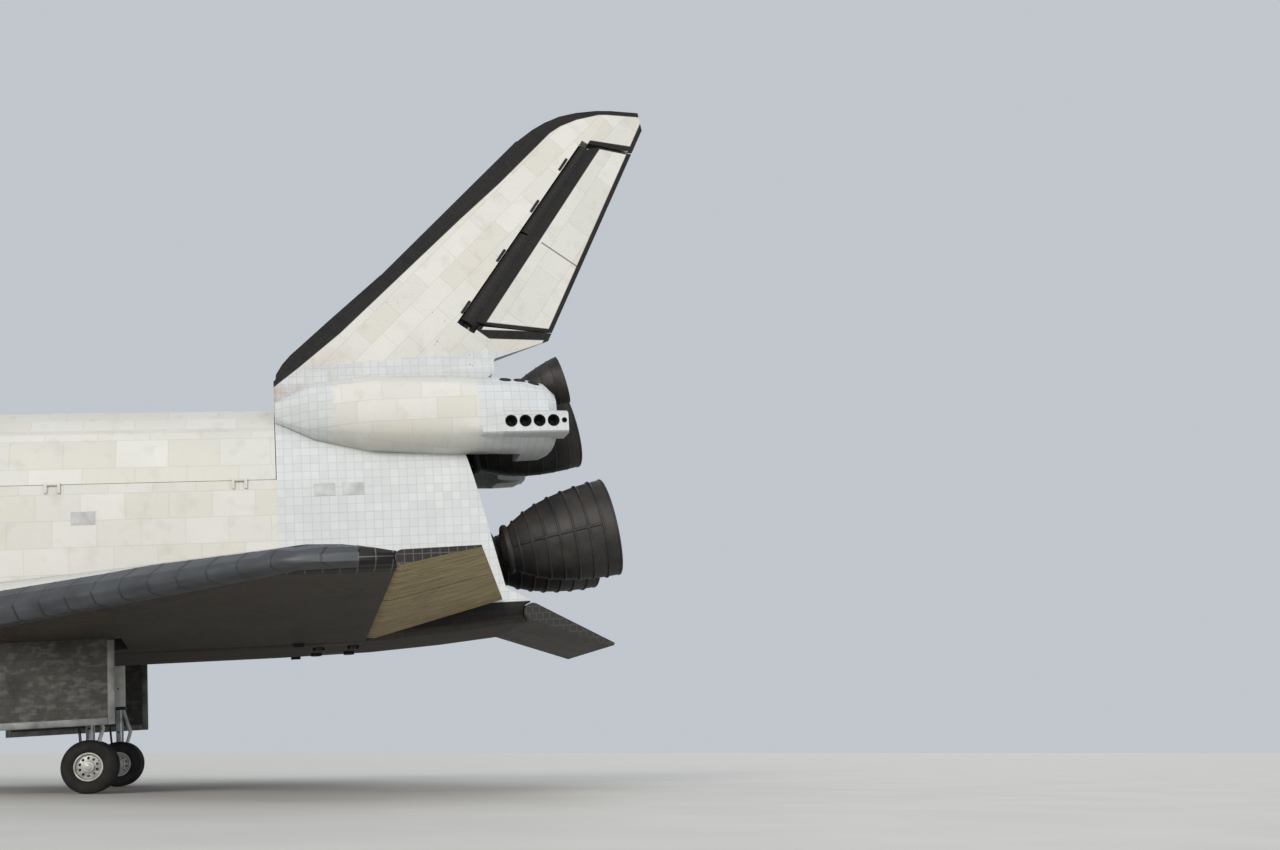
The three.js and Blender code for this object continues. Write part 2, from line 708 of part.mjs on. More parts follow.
function aftPad(side, grown) {
  const { x, y, half, bottom, top } = AFT_PAD;
  const reach = half + grown;
  const centre = side * y;
  return box(x - reach, x + reach, centre - reach, centre + reach, bottom - grown, top + grown);
}

function flapLugs(grown) {
  const { x, z } = FLAP_HINGE;
  const half = FLAP_LUG / 2 + grown;
  return [-1, 1].map((side) => {
    const y = side * FLAP_LUG_Y;
    return joined(
      bar(vec(x, y - half, z), vec(x, y + half, z), 140, 140, 16),
      box(x - 600, x, y - half, y + half, z - 90, z + 90),
    );
  });
}

function umbilicalRecess(side) {
  const { x0, x1, y0, y1, depth, gap } = UMBILICAL;
  const [near, far] = [side * (y0 - gap), side * (y1 + gap)];
  return box(x0 - gap, x1 + gap, Math.min(near, far), Math.max(near, far), -400, bellyZ + 45 + depth + gap);
}

function umbilicalEars(side) {
  const { knuckle, length } = UMBILICAL;
  const { y, z } = UMBILICAL_AXIS;
  return [-400, 400].flatMap((shift) =>
    [-1, 1].flatMap((end) => {
      const near = umbilicalX + shift + end * (length / 2 + SEAT);
      const far = near + end * 50;
      const [x0, x1] = [Math.min(near, far), Math.max(near, far)];
      const [ya, yb] = [side * (y - knuckle), side * (y + 1)];
      return [
        bar(vec(x0, side * y, z), vec(x1, side * y, z), knuckle, knuckle, KNUCKLE_SIDES),
        box(x0, x1, Math.min(ya, yb), Math.max(ya, yb), z, z + 150),
      ];
    }),
  );
}

function umbilicalDoor() {
  const { x0, x1, y0, y1, depth, knuckle, length } = UMBILICAL;
  const plate = hull(BAY_END, BASE_END).intersect(box(x0, x1, y0, y1, -400, bellyZ + 45 + depth));
  const { y, z } = UMBILICAL_AXIS;
  const knuckles = [-400, 400].flatMap((shift) => {
    const [start, end] = [umbilicalX + shift - length / 2, umbilicalX + shift + length / 2];
    return [
      bar(vec(start, y, z), vec(end, y, z), knuckle, knuckle, KNUCKLE_SIDES),
      box(start, end, y, y + 90, z - knuckle, z + 20),
      box(start, end, y + 40, y + 90, z - knuckle, z + 90),
    ];
  });
  return joined(plate, ...knuckles);
}

function aftFuselage() {
  const slope = slab([...BASE_LINE, [36000, 6200], [36000, 780]], -4000, 4000, "xz");
  const { x, z } = FLAP_HINGE;
  const cove = FLAP_RADIUS + 25;
  const pockets = ENGINES.map((row) => {
    const ball = new THREE.SphereGeometry(DOME_RADIUS + DOME_CLEARANCE, 20, 10);
    return solid(ball.translate(row[1], row[2], row[3]));
  });
  const posts = ENGINES.map((row) => placed(thrustPost(), engineFrame(row).matrix));
  const shell = cut(
    hull(BAY_END + SEAT, BASE_END),
    slope,
    bar(vec(x, -3500, z), vec(x, 3500, z), cove, cove, 24),
    umbilicalRecess(-1),
    umbilicalRecess(1),
    ...pockets,
  );
  return joined(
    shell,
    ...posts,
    ...flapLugs(0),
    aftPad(-1, 0),
    aftPad(1, 0),
    ...umbilicalEars(-1),
    ...umbilicalEars(1),
  );
}

function bodyFlap() {
  const { x, z } = FLAP_HINGE;
  const steps = 8;
  const nose = [];
  for (let k = 0; k <= steps; k++) {
    const turn = PI / 2 + (PI * k) / steps;
    nose.push([x + FLAP_RADIUS * Math.cos(turn), z + FLAP_RADIUS * Math.sin(turn)]);
  }
  const outline = [...nose, [x + FLAP_CHORD, z - 150], [x + FLAP_CHORD, z - 90]];
  const wedge = slab(outline, -FLAP_HALF_SPAN, FLAP_HALF_SPAN, "xz");
  const half = FLAP_LUG / 2 + SEAT;
  const slots = [-1, 1].flatMap((side) => {
    const y = side * FLAP_LUG_Y;
    return [
      bar(vec(x, y - half, z), vec(x, y + half, z), 165, 165, 16),
      box(x - 300, x, y - half, y + half, z - 300, z + 300),
    ];
  });
  const turn = new THREE.Matrix4()
    .makeTranslation(x, 0, z)
    .multiply(new THREE.Matrix4().makeRotationY(rad(FLAP_REST_DEG)))
    .multiply(new THREE.Matrix4().makeTranslation(-x, 0, -z));
  return placed(cut(wedge, ...slots), turn);
}

// Wings and elevons

const hingeShare = (y) => (y - HINGE_ROOT.y) / (HINGE_TIP.y - HINGE_ROOT.y);
const hingeZ = (y) => lerp(HINGE_ROOT.z, HINGE_TIP.z, hingeShare(y));
const hingeRadius = (y) => lerp(HINGE_ROOT.radius, HINGE_TIP.radius, hingeShare(y));
const HINGE_RISE = (HINGE_TIP.z - HINGE_ROOT.z) / (HINGE_TIP.y - HINGE_ROOT.y);
const strakeSlope = (WING_BREAK.x - STRAKE_TIP.x) / (WING_BREAK.y - STRAKE_TIP.y);
const leadingX = (y) =>
  y < WING_BREAK.y ? WING_BREAK.x - (WING_BREAK.y - y) * strakeSlope : WING_BREAK.x + (y - WING_BREAK.y);

// share of the chord, share of the thickness above the lower skin
const STRAKE_TOP = [
  [0, 0.3],
  [0.03, 0.42],
  [0.12, 0.55],
  [0.35, 0.75],
  [0.6, 0.95],
  [0.82, 0.97],
];
const WING_TOP = [
  [0, 0.36],
  [0.03, 0.58],
  [0.12, 0.84],
  [0.35, 1.0],
  [0.6, 0.96],
  [0.82, 0.8],
];
const WING_BOTTOM = [
  [0.2, 0],
  [0.03, 0.12],
];
// y, thickness, how much of the section's height is kept, extra sweep at the rounded tip, upper profile
const WING_ROWS = [
  [2400, 1460, 1, 0, STRAKE_TOP],
  [WING_BREAK.y, 1340, 1, 0, WING_TOP],
  [11500, 473, 1, 0, WING_TOP],
  [11800, 433, 0.75, 120, WING_TOP],
  [WING_TIP_Y, 420, 0.35, 420, WING_TOP],
];

function wingLoop([y, thickness, kept, sweep, top]) {
  const lead = leadingX(y) + sweep;
  const chord = HINGE_X - lead;
  const [middle, half] = [hingeZ(y), hingeRadius(y)];
  const low = middle - half;
  const at = ([share, height]) => vec(lead + share * chord, y, low + height * thickness);
  const loop = [...top.map(at), vec(HINGE_X, y, middle + half), vec(HINGE_X, y, low), ...WING_BOTTOM.map(at)];
  for (const point of loop) point.z = lerp(middle, point.z, kept);
  return loop;
}

// The leading edge strip seen from above: along the strake, the swept edge and round the tip.
function edgeRegion(shrink) {
  const front = 14000;
  const inner = (y, offset) => [leadingX(y) + offset, y];
  const tipInner = WING_TIP_Y - 330;
  return slab(
    [
      [front + shrink, 3600 + shrink],
      inner(WING_BREAK.y - 330, 900 - shrink),
      [WING_BREAK.x + 500 - shrink, WING_BREAK.y - 60],
      [leadingX(tipInner) + 620 - shrink, tipInner + shrink],
      [28500 - shrink, tipInner + 60 + shrink],
      [28500 - shrink, 13000],
      [front + shrink, 13000],
    ],
    -1500,
    3500,
    "xy",
  );
}

const wingBody = () => loft(WING_ROWS.map(wingLoop));
const hullKeepOut = () => hull(3000, BASE_END, -SEAT);
const hingeAt = (y) => vec(HINGE_X, y, hingeZ(y));

function hingeCone(y0, y1, grown) {
  return bar(hingeAt(y0), hingeAt(y1), hingeRadius(y0) + grown, hingeRadius(y1) + grown, 24);
}

// The rib between the two elevons, with the bearing disc at its end.
function elevonRib() {
  const [near, far] = [-1, 1].map((end) => ELEVON_SPLIT_Y + (end * HINGE_RIB.thick) / 2);
  const middle = hingeZ(ELEVON_SPLIT_Y);
  const corner = (y, up) => {
    const rise = (up * HINGE_RIB.height) / 2;
    return [y - HINGE_RISE * rise, middle + rise];
  };
  const outline = [corner(near, -1), corner(far, -1), corner(far, 1), corner(near, 1)];
  const web = slab(outline, HINGE_X - HINGE_RIB.reach, HINGE_X, "yz");
  return web.add(hingeCone(near, far, -HINGE_RIB.inset));
}

function wing() {
  const { x0, x1, y0, y1, roof } = MAIN_WELL;
  const panel = cut(
    wingBody(),
    edgeRegion(0),
    hullKeepOut(),
    box(x0, x1, y0, y1, -600, roof),
    hingeCone(2000, 12500, ELEVON_COVE),
    aftPad(1, 2),
  );
  return panel.add(elevonRib());
}

const wingEdge = () => wingBody().intersect(edgeRegion(SEAT));

const ELEVON_END = HINGE_RIB.thick / 2 + SEAT;
// name, y at the hinge and at the trailing edge of its inboard end, the same of its outboard end
const ELEVONS = [
  ["inner", 2800, 3030, ELEVON_SPLIT_Y - ELEVON_END, ELEVON_SPLIT_Y - ELEVON_END],
  ["outer", ELEVON_SPLIT_Y + ELEVON_END, ELEVON_SPLIT_Y + ELEVON_END, 11850, 11850],
];

function elevonLoop(hingeY, trailY) {
  const z = hingeZ(hingeY);
  const radius = hingeRadius(hingeY);
  const share = (trailY - ELEVON_TE_ROOT.y) / (ELEVON_TE_TIP.y - ELEVON_TE_ROOT.y);
  const trail = lerp(ELEVON_TE_ROOT.x, ELEVON_TE_TIP.x, share);
  const steps = 8;
  const points = [];
  for (let k = 0; k <= steps; k++) {
    const turn = -PI / 2 - (PI * k) / steps;
    points.push([HINGE_X + radius * Math.cos(turn), z + radius * Math.sin(turn)]);
  }
  points.push([trail, z + 15], [trail, z - 15]);
  const lean = (trailY - hingeY) / (trail - HINGE_X);
  return points.map(([x, pz]) => {
    const y = hingeY + Math.max(0, x - HINGE_X) * lean;
    return vec(x, y - HINGE_RISE * (pz - z), pz);
  });
}

function elevon([, hingeIn, trailIn, hingeOut, trailOut]) {
  const blade = loft([elevonLoop(hingeIn, trailIn), elevonLoop(hingeOut, trailOut)]);
  const axis = vec(0, 1, HINGE_RISE).normalize();
  const at = hingeAt(ELEVON_SPLIT_Y);
  const turn = new THREE.Matrix4()
    .makeTranslation(at)
    .multiply(new THREE.Matrix4().makeRotationAxis(axis, -rad(ELEVON_REST_DEG)))
    .multiply(new THREE.Matrix4().makeTranslation(at.negate()));
  return placed(blade, turn);
}

// Orbital manoeuvring pods

// x, middle y, middle z, half width, half height
const POD_ROWS = [
  [27240, 1560, 5560, 320, 260],
  [28100, 1780, 5480, 900, 720],
  [29400, 1980, 5350, 1380, 930],
  [31200, 2090, 5260, 1540, 970],
  [32900, 2100, 5190, 1560, 930],
  [33450, 2110, 5130, 1490, 850],
  [33680, 2110, 5080, 1340, 700],
];
const POD_POINTS = 18;
// x, inner y, outer y, bottom, top
const THRUSTER_ROWS = [
  [31900, 3000, 3560, 4600, 5200],
  [32350, 2950, 3807, 4560, 5160],
  [33880, 2950, 3807, 4560, 5110],
];
const THRUSTERS = { y: 3807, z: 4860, radius: 145, depth: 300, x0: 32537, pitch: 330, count: 4 };
const SMALL_THRUSTER = { x: 33782, radius: 65 };
const OMS_GIMBAL = { x: 32588, y: 2235, z: 5715 };
const OMS_PITCH = 15.8;
const OMS_YAW = 6.5;
const OMS_WALL = 25;
const OMS_SIDES = 20;
const OMS_ROOM = { margin: 30, end: 2500 }; // round the bell, and its far end from the gimbal
// distance from the gimbal, outer radius
const OMS_BELL = [
  [445, 270],
  [700, 375],
  [1000, 470],
  [1280, 540],
  [1530, 584],
];

function podLoop([x, y, z, halfWidth, halfHeight]) {
  const loop = [];
  for (let k = 0; k < POD_POINTS; k++) {
    const turn = (2 * PI * k) / POD_POINTS;
    const [c, s] = [Math.cos(turn), Math.sin(turn)];
    const square = (value) => Math.sign(value) * Math.abs(value) ** 0.75;
    loop.push(vec(x, y + halfWidth * square(c), z + halfHeight * square(s)));
  }
  return loop;
}

function omsFrame() {
  const group = new THREE.Group();
  group.position.set(OMS_GIMBAL.x, OMS_GIMBAL.y, OMS_GIMBAL.z);
  group.rotation.set(0, -rad(OMS_PITCH), rad(OMS_YAW), "ZYX");
  group.updateMatrix();
  return group.matrix;
}

function omsPod() {
  const thrusterHousing = loft(
    THRUSTER_ROWS.map(([x, y0, y1, z0, z1]) => [
      vec(x, y0, z0 + 60),
      vec(x, y0 + 100, z0),
      vec(x, y1 - 60, z0),
      vec(x, y1, z0 + 60),
      vec(x, y1, z1 - 80),
      vec(x, y1 - 160, z1),
      vec(x, y0 + 100, z1),
      vec(x, y0, z1 - 60),
    ]),
  );
  const { y, z, radius, depth, x0, pitch, count } = THRUSTERS;
  const hole = (x, holeRadius) => bar(vec(x, y - depth, z), vec(x, y + depth, z), holeRadius, holeRadius, 16);
  const holes = [hole(SMALL_THRUSTER.x, SMALL_THRUSTER.radius)];
  for (let k = 0; k < count; k++) holes.push(hole(x0 + k * pitch, radius));
  return cut(
    joined(loft(POD_ROWS.map(podLoop)), thrusterHousing),
    ...holes,
    hull(BAY_END - 2000, BASE_END, -SEAT),
    engineRoom(),
    nozzleRoom(),
    box(20000, 36000, -3000, 520, 3000, 9000),
  );
}

// The opening in a pod's aft end that the small nozzle stands in.
function nozzleRoom() {
  const rows = OMS_BELL.map(([along, radius]) => [radius + OMS_ROOM.margin, along]);
  const foot = OMS_BELL[0][0] - SEAT;
  const [footRadius] = rows[0];
  const [exitRadius] = rows.at(-1);
  const mouth = [[exitRadius, OMS_ROOM.end], [0, OMS_ROOM.end]];
  const profile = [[0, foot], [footRadius, foot], ...rows.slice(1), ...mouth];
  return placed(alongX(turned(profile, OMS_SIDES)), omsFrame());
}

function omsNozzle() {
  const outside = OMS_BELL.map(([along, radius]) => [radius, along]);
  const inside = OMS_BELL.slice(1).reverse().map(([along, radius]) => [radius - OMS_WALL, along]);
  const [foot] = OMS_BELL[0];
  const profile = [[0, foot], ...outside, ...inside, [90, foot + 60], [0, foot + 40]];
  return placed(alongX(turned(profile, OMS_SIDES)), omsFrame());
}

// Landing gear

const pitch = rad(NOSE_DOWN_DEG);
const flatRadius = ({ radius, sides }) => radius * Math.cos(PI / sides);
const NOSE_AXLE_Z =
  MAIN_AXLE_Z +
  ((MAIN_WHEEL.x - NOSE_WHEEL.x) * Math.sin(pitch) - (flatRadius(MAIN_WHEEL) - flatRadius(NOSE_WHEEL))) /
    Math.cos(pitch);

// One tyre and, at the same place, the rim that it sits on. A flat of each faces the ground.
function tyre({ radius, half, rim, sides }) {
  const seat = rim + SEAT;
  const rows = [
    [seat, -half * 0.8],
    [seat + (radius - seat) * 0.3, -half],
    [radius - half * 0.35, -half * 0.95],
    [radius, -half * 0.5],
    [radius, half * 0.5],
    [radius - half * 0.35, half * 0.95],
    [seat + (radius - seat) * 0.3, half],
    [seat, half * 0.8],
  ];
  return turned([...rows, rows[0]], sides, groundPhase(sides));
}

function rimRows({ half, rim }) {
  return [
    [0, -half * 0.4],
    [rim * 0.82, -half * 0.2],
    [rim * 0.9, -half * 0.8],
    [rim, -half * 0.8],
    [rim, half * 0.8],
    [rim * 0.9, half * 0.8],
    [rim * 0.82, half * 0.2],
    [0, half * 0.4],
  ];
}

// Lathe facets start on +z; the turn puts a flat straight down once the orbiter is pitched.
function groundPhase(sides) {
  return PI / sides + pitch;
}

// Two rims on one shaft.
function wheelPair(wheel) {
  const rims = [-1, 1].map((side) => {
    const rim = geometryOf(turned(rimRows(wheel), wheel.sides, groundPhase(wheel.sides)));
    return solid(rim.translate(0, side * wheel.spread, 0));
  });
  const shaft = bar(vec(0, -wheel.spread, 0), vec(0, wheel.spread, 0), wheel.shaft, wheel.shaft, 12);
  return joined(...rims, shaft);
}

function wheelSet(name, wheel, axleZ, sideY) {
  const place = (mesh, y) => {
    mesh.position.set(wheel.x, y, axleZ);
    return mesh;
  };
  return [
    place(piece(name + "_wheels", wheelPair(wheel), "gear"), sideY),
    place(piece(name + "_tyre_port", tyre(wheel), "tyre"), sideY - wheel.spread),
    place(piece(name + "_tyre_starboard", tyre(wheel), "tyre"), sideY + wheel.spread),
  ];
}

// Main leg about its axle: eye, piston, cylinder, brace forward to the well's roof.
function mainGearLeg() {
  const roof = MAIN_WELL.roof - MAIN_AXLE_Z - SEAT;
  const eye = bar(vec(0, -110, 0), vec(0, 110, 0), 150, 150, 16);
  const leg = joined(
    eye,
    bar(vec(0, 0, 60), vec(0, 0, 1500), 90, 90, 12),
    bar(vec(0, 0, 1400), vec(0, 0, roof), 150, 150, 14),
    bar(vec(0, 0, 1560), vec(-1900, 0, roof + 100), 70, 70, 10),
    bar(vec(60, 0, 150), vec(260, 0, 800), 45, 45, 8),
    bar(vec(260, 0, 780), vec(60, 0, 1450), 45, 45, 8),
    box(-120, 120, -420, 420, roof - 260, roof),
  );
  const aboveRoof = box(-3000, 3000, -900, 900, roof, roof + 400);
  return cut(leg, bore(vec(0, -300, 0), vec(0, 300, 0), MAIN_WHEEL.shaft), aboveRoof);
}

const NOSE_COLLAR = 1050; // height of the steering collar above the nose axle

function noseGearLeg() {
  const roof = NOSE_WELL.roof - NOSE_AXLE_Z - SEAT;
  const leg = joined(
    bar(vec(0, 0, NOSE_COLLAR), vec(0, 0, roof), 110, 110, 14),
    bar(vec(0, 0, NOSE_COLLAR + 250), vec(-1250, 0, roof + 60), 50, 50, 10),
    box(-80, 80, -400, 400, roof - 220, roof),
  );
  return cut(leg, box(-3000, 3000, -900, 900, roof, roof + 400));
}

function noseGearFork() {
  const fork = joined(
    bar(vec(0, -80, 0), vec(0, 80, 0), 95, 95, 14),
    bar(vec(0, 0, 50), vec(0, 0, NOSE_COLLAR - SEAT), 70, 70, 12),
    bar(vec(0, 0, NOSE_COLLAR - 160), vec(0, 0, NOSE_COLLAR - SEAT), 115, 115, 14),
    bar(vec(-40, 0, 60), vec(-190, 0, 420), 30, 30, 8),
    bar(vec(-190, 0, 400), vec(-70, 0, NOSE_COLLAR - 60), 30, 30, 8),
  );
  return cut(fork, bore(vec(0, -200, 0), vec(0, 200, 0), NOSE_WHEEL.shaft));
}

const MAIN_DOOR = { x0: MAIN_WELL.x0, x1: 23800, y0: MAIN_WELL.y1 + 30, thick: 80, bottom: -1560 };
const NOSE_DOOR = { x0: 2000, x1: 3800, y0: NOSE_WELL.half + 12, thick: 45, drop: 620 };

// Doors hang open from the outboard edge of the main well, their top resting under the wing.
function mainGearDoor() {
  const { x0, x1, y0, thick, bottom } = MAIN_DOOR;
  const plate = box(x0, x1, y0, y0 + thick, bottom, 900);
  return cut(plate, ...[-SEAT, 400].map((shift) => wingBody().translate(0, 0, shift)));
}

function noseGearDoor() {
  const { x0, x1, y0, thick, drop } = NOSE_DOOR;
  const [, , frontZ] = hullRow(x0);
  const [, , rearZ] = hullRow(x1);
  const outline = [
    [x0, frontZ - drop],
    [x1, rearZ - drop],
    [x1, rearZ + 400],
    [x0, frontZ + 400],
  ];
  const plate = slab(outline, y0, y0 + thick, "xz");
  return cut(plate, hull(NOSE_CAP_END, CABIN_END, -SEAT));
}

// Assembly

const orbiter = new THREE.Group();
orbiter.rotation.y = -pitch;

const windshieldBand = glassBand(4850, 6350, 4180);
const overheadBand = glassBand(6400, 7050, 5150);

orbiter.add(
  piece("nose_cap", hull(0, NOSE_CAP_END - SEAT), "carbonEdge"),
  piece("forward_fuselage", forwardFuselage(), "whiteTile"),
  piece(
    "forward_thruster_module",
    hull(NOSE_CAP_END, CABIN_END).intersect(
      box(RCS_MODULE.x0 + SEAT, RCS_MODULE.x1 - SEAT, -3000, 3000, RCS_MODULE.z + SEAT, 6000),
    ),
    "whiteTile",
  ),
  piece("windshield", windshieldBand, "glass"),
  piece("overhead_windows", overheadBand, "glass"),
  piece("flight_deck", flightDeck(), "interior"),
  piece("side_hatch", sideHatch(), "whiteTile"),
  piece("mid_fuselage", midFuselage(), "blanket"),
  piece("aft_fuselage", aftFuselage(), "whiteTile"),
  piece("fin", fin(), "blanket"),
  piece("rudder_shaft", rudderShaft(), "blackTile"),
  piece("body_flap", bodyFlap(), "scorchedTile"),
  ...pair("payload_door", payloadDoor(), "blanket"),
  ...pair("radiator", radiator(), "radiator"),
  ...pair("wing", wing(), "blackTile"),
  ...pair("wing_edge", wingEdge(), "carbonEdge"),
  ...pair("rudder_panel", rudderPanel(), "blanket"),
  ...pair("oms_pod", omsPod(), "blanket"),
  ...pair("oms_nozzle", omsNozzle(), "engine"),
  ...pair("umbilical_door", umbilicalDoor(), "blackTile"),
  ...pair("main_gear_door", mainGearDoor(), "blackTile"),
  ...pair("nose_gear_door", noseGearDoor(), "blackTile"),
);

for (const row of ELEVONS) orbiter.add(...pair("elevon_" + row[0], elevon(row), "scorchedTile"));

for (const row of ENGINES) {
  const mount = engineFrame(row);
  mount.add(piece("engine_gimbal_" + row[0], gimbalBlock(), "steel"));
  mount.add(piece("main_engine_" + row[0], mainEngine(), "engine"));
  orbiter.add(mount);
}

for (const [name, side] of [["left", -1], ["right", 1]]) {
  const leg = piece("main_gear_leg_" + name, mainGearLeg(), "gear");
  leg.position.set(MAIN_WHEEL.x, side * MAIN_WHEEL.y, MAIN_AXLE_Z);
  orbiter.add(leg, ...wheelSet("main_" + name, MAIN_WHEEL, MAIN_AXLE_Z, side * MAIN_WHEEL.y));
}

for (const [name, made] of [["nose_gear_leg", noseGearLeg()], ["nose_gear_fork", noseGearFork()]]) {
  const mesh = piece(name, made, "gear");
  mesh.position.set(NOSE_WHEEL.x, 0, NOSE_AXLE_Z);
  orbiter.add(mesh);
}
orbiter.add(...wheelSet("nose", NOSE_WHEEL, NOSE_AXLE_Z, 0));

// The origin is the middle of the box that the parked orbiter fills, on the ground.
const extent = new THREE.Box3().setFromObject(orbiter, true);
const middle = extent.getCenter(vec(0, 0, 0));
orbiter.position.set(-middle.x, -middle.y, -extent.min.z);

const spaceplane = new THREE.Group();
spaceplane.add(orbiter);

export default spaceplane;
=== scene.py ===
import bpy
import json
import math
from functools import reduce
from mathutils import Matrix, Vector

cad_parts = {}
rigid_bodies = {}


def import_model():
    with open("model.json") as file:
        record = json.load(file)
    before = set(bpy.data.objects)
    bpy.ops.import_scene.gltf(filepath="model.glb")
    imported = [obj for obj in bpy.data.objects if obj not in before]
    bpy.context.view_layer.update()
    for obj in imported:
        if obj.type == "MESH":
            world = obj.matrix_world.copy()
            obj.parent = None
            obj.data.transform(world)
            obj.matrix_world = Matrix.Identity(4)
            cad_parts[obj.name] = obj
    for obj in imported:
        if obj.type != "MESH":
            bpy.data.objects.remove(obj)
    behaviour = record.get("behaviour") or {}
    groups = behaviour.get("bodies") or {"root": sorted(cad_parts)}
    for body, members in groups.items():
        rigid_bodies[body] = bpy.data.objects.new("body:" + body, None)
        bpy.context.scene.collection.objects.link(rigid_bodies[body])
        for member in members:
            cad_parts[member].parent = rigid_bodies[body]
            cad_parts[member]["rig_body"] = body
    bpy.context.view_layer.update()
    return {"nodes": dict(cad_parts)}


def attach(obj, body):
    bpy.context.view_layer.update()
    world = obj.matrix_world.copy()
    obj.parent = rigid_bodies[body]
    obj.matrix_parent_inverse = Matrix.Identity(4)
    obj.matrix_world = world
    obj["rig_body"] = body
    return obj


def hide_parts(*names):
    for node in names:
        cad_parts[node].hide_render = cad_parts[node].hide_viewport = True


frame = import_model()
nodes = frame["nodes"]
print("frame loaded with", len(nodes), "nodes")

# the parked spaceplane leans nose down; its own axes run x aft, y starboard, z up, in metres
parked = {"pitchDeg": 3.6, "shift": (-17.9991, 0.0, 1.51366)}
pitch = math.radians(parked["pitchDeg"])
shift = Vector(parked["shift"])
bodyMatrix = Matrix.Translation(shift) @ Matrix.Rotation(-pitch, 4, "Y")
bodyTurn = bodyMatrix.to_3x3()
bothSides = (("left", -1), ("right", 1))
slant = 0.7071  # share of each axis in a 45 degree line


# short forms of material nodes, which find their node tree from the sockets that they are given

def feed(value, socket):
    if isinstance(value, bpy.types.NodeSocket):
        socket.id_data.links.new(value, socket)
    elif socket.type == "RGBA":
        socket.default_value = (*value, 1)
    else:
        socket.default_value = value


def newNode(kind, *values, **settings):
    tree = next(value.id_data for value in values if isinstance(value, bpy.types.NodeSocket))
    node = tree.nodes.new("ShaderNode" + kind)
    for key, setting in settings.items():
        setattr(node, key, setting)
    for socket, value in zip(node.inputs, values):
        feed(value, socket)
    return node


def calc(operation, *values):
    return newNode("Math", *values, operation=operation).outputs[0]


def plus(value, other):
    return calc("ADD", value, other)


def minus(value, other):
    return calc("SUBTRACT", value, other)


def both(*masks):
    return reduce(lambda total, mask: calc("MULTIPLY", total, mask), masks)


def either(*masks):
    return reduce(lambda total, mask: calc("MAXIMUM", total, mask), masks)


def absolute(value):
    return calc("ABSOLUTE", value)


def sloped(value, slope, start):
    return calc("MULTIPLY_ADD", value, slope, start)


def fromWhole(value):  # distance to the nearest whole number
    share = calc("FRACT", value)
    return calc("MINIMUM", share, minus(1.0, share))


def ramp(value, low, high):  # 0 at low, 1 at high
    return newNode("MapRange", value, low, high).outputs[0]


def over(value, soft=0.01):  # 1 where the value is above zero
    return ramp(value, -soft, soft)


def between(value, low, high, soft=0.02):
    return both(ramp(value, high, high - soft), ramp(value, low, low + soft))


def pastLine(value, other, line):  # the line is a slope and the sum that it reaches
    slope, reach = line
    return minus(sloped(other, slope, value), reach)


def stepped(value, rows):  # straight lines through the rows of place and result
    total = rows[0][1]
    for (place, result), (nextPlace, nextResult) in zip(rows, rows[1:]):
        total = sloped(ramp(value, place, nextPlace), nextResult - result, total)
    return total


def blendColour(amount, *colours):  # a colour is a socket, a tone's name or a whole look
    node = newNode("Mix", amount, data_type="RGBA")
    for socket, colour in zip(node.inputs[6:8], colours):
        if isinstance(colour, dict):
            colour = colour["colour"]
        feed(tones.get(colour, colour), socket)
    return node.outputs[2]


def layered(colour, *rows):  # each row's colour goes over the last by its mask
    for mask, upper in rows:
        colour = blendColour(mask, colour, upper)
    return colour


def laidOver(look, *rows):
    return {**look, "colour": layered(look, *rows)}


def noise(place, scale, detail=3.0, stretch=None):
    if stretch:
        mapping = newNode("Mapping", place)
        mapping.inputs["Scale"].default_value = stretch
        place = mapping.outputs[0]
    node = newNode("TexNoise", place)
    node.inputs["Scale"].default_value = scale
    node.inputs["Detail"].default_value = detail
    return node.outputs["Fac"]


def specks(place, scale, size):  # small round dots
    node = newNode("TexVoronoi", place)
    node.inputs["Scale"].default_value = scale
    return ramp(node.outputs["Distance"], size, size * 0.6)


def weather(place, scale, strength):  # soft cloudy variation
    return both(ramp(noise(place, scale, 5.0), 0.35, 0.7), strength)


def parts(vector):
    return tuple(newNode("SeparateXYZ", vector).outputs)


def facing(tree):  # the surface's own normal
    return parts(tree.nodes.new("ShaderNodeTexCoord").outputs["Normal"])


def bodyPlace(tree, turnDeg=0.0):  # the spaceplane's own axes, turned about y if wanted
    angle = pitch + math.radians(turnDeg)
    mapping = newNode("Mapping", tree.nodes.new("ShaderNodeTexCoord").outputs["Object"])
    mapping.inputs["Rotation"].default_value = (0, angle, 0)
    mapping.inputs["Location"].default_value = -(Matrix.Rotation(angle, 4, "Y") @ shift)
    return mapping.outputs[0]


def surfacePair(place):  # two coordinates that lie along the surface, whichever way it faces
    x, y, z = parts(place)
    nx, ny, nz = facing(place.id_data)
    front, level = (ramp(absolute(normal), 0.68, 0.72) for normal in (nx, nz))
    return plus(x, both(front, minus(y, x))), plus(z, both(level, minus(y, z)))


def tileGrid(u, v, sizeU, sizeV, joint, stagger=0.0):  # the joints, and a random share for each tile
    row = calc("DIVIDE", v, sizeV)
    cellV = calc("FLOOR", row)
    along = plus(calc("DIVIDE", u, sizeU), both(cellV, stagger))
    gap = calc("MINIMUM", both(fromWhole(along), sizeU), both(fromWhole(row), sizeV))
    cell = newNode("CombineXYZ", calc("FLOOR", along), cellV)
    pick = newNode("TexWhiteNoise", cell.outputs[0]).outputs["Value"]
    return ramp(gap, joint, joint * 0.4), pick


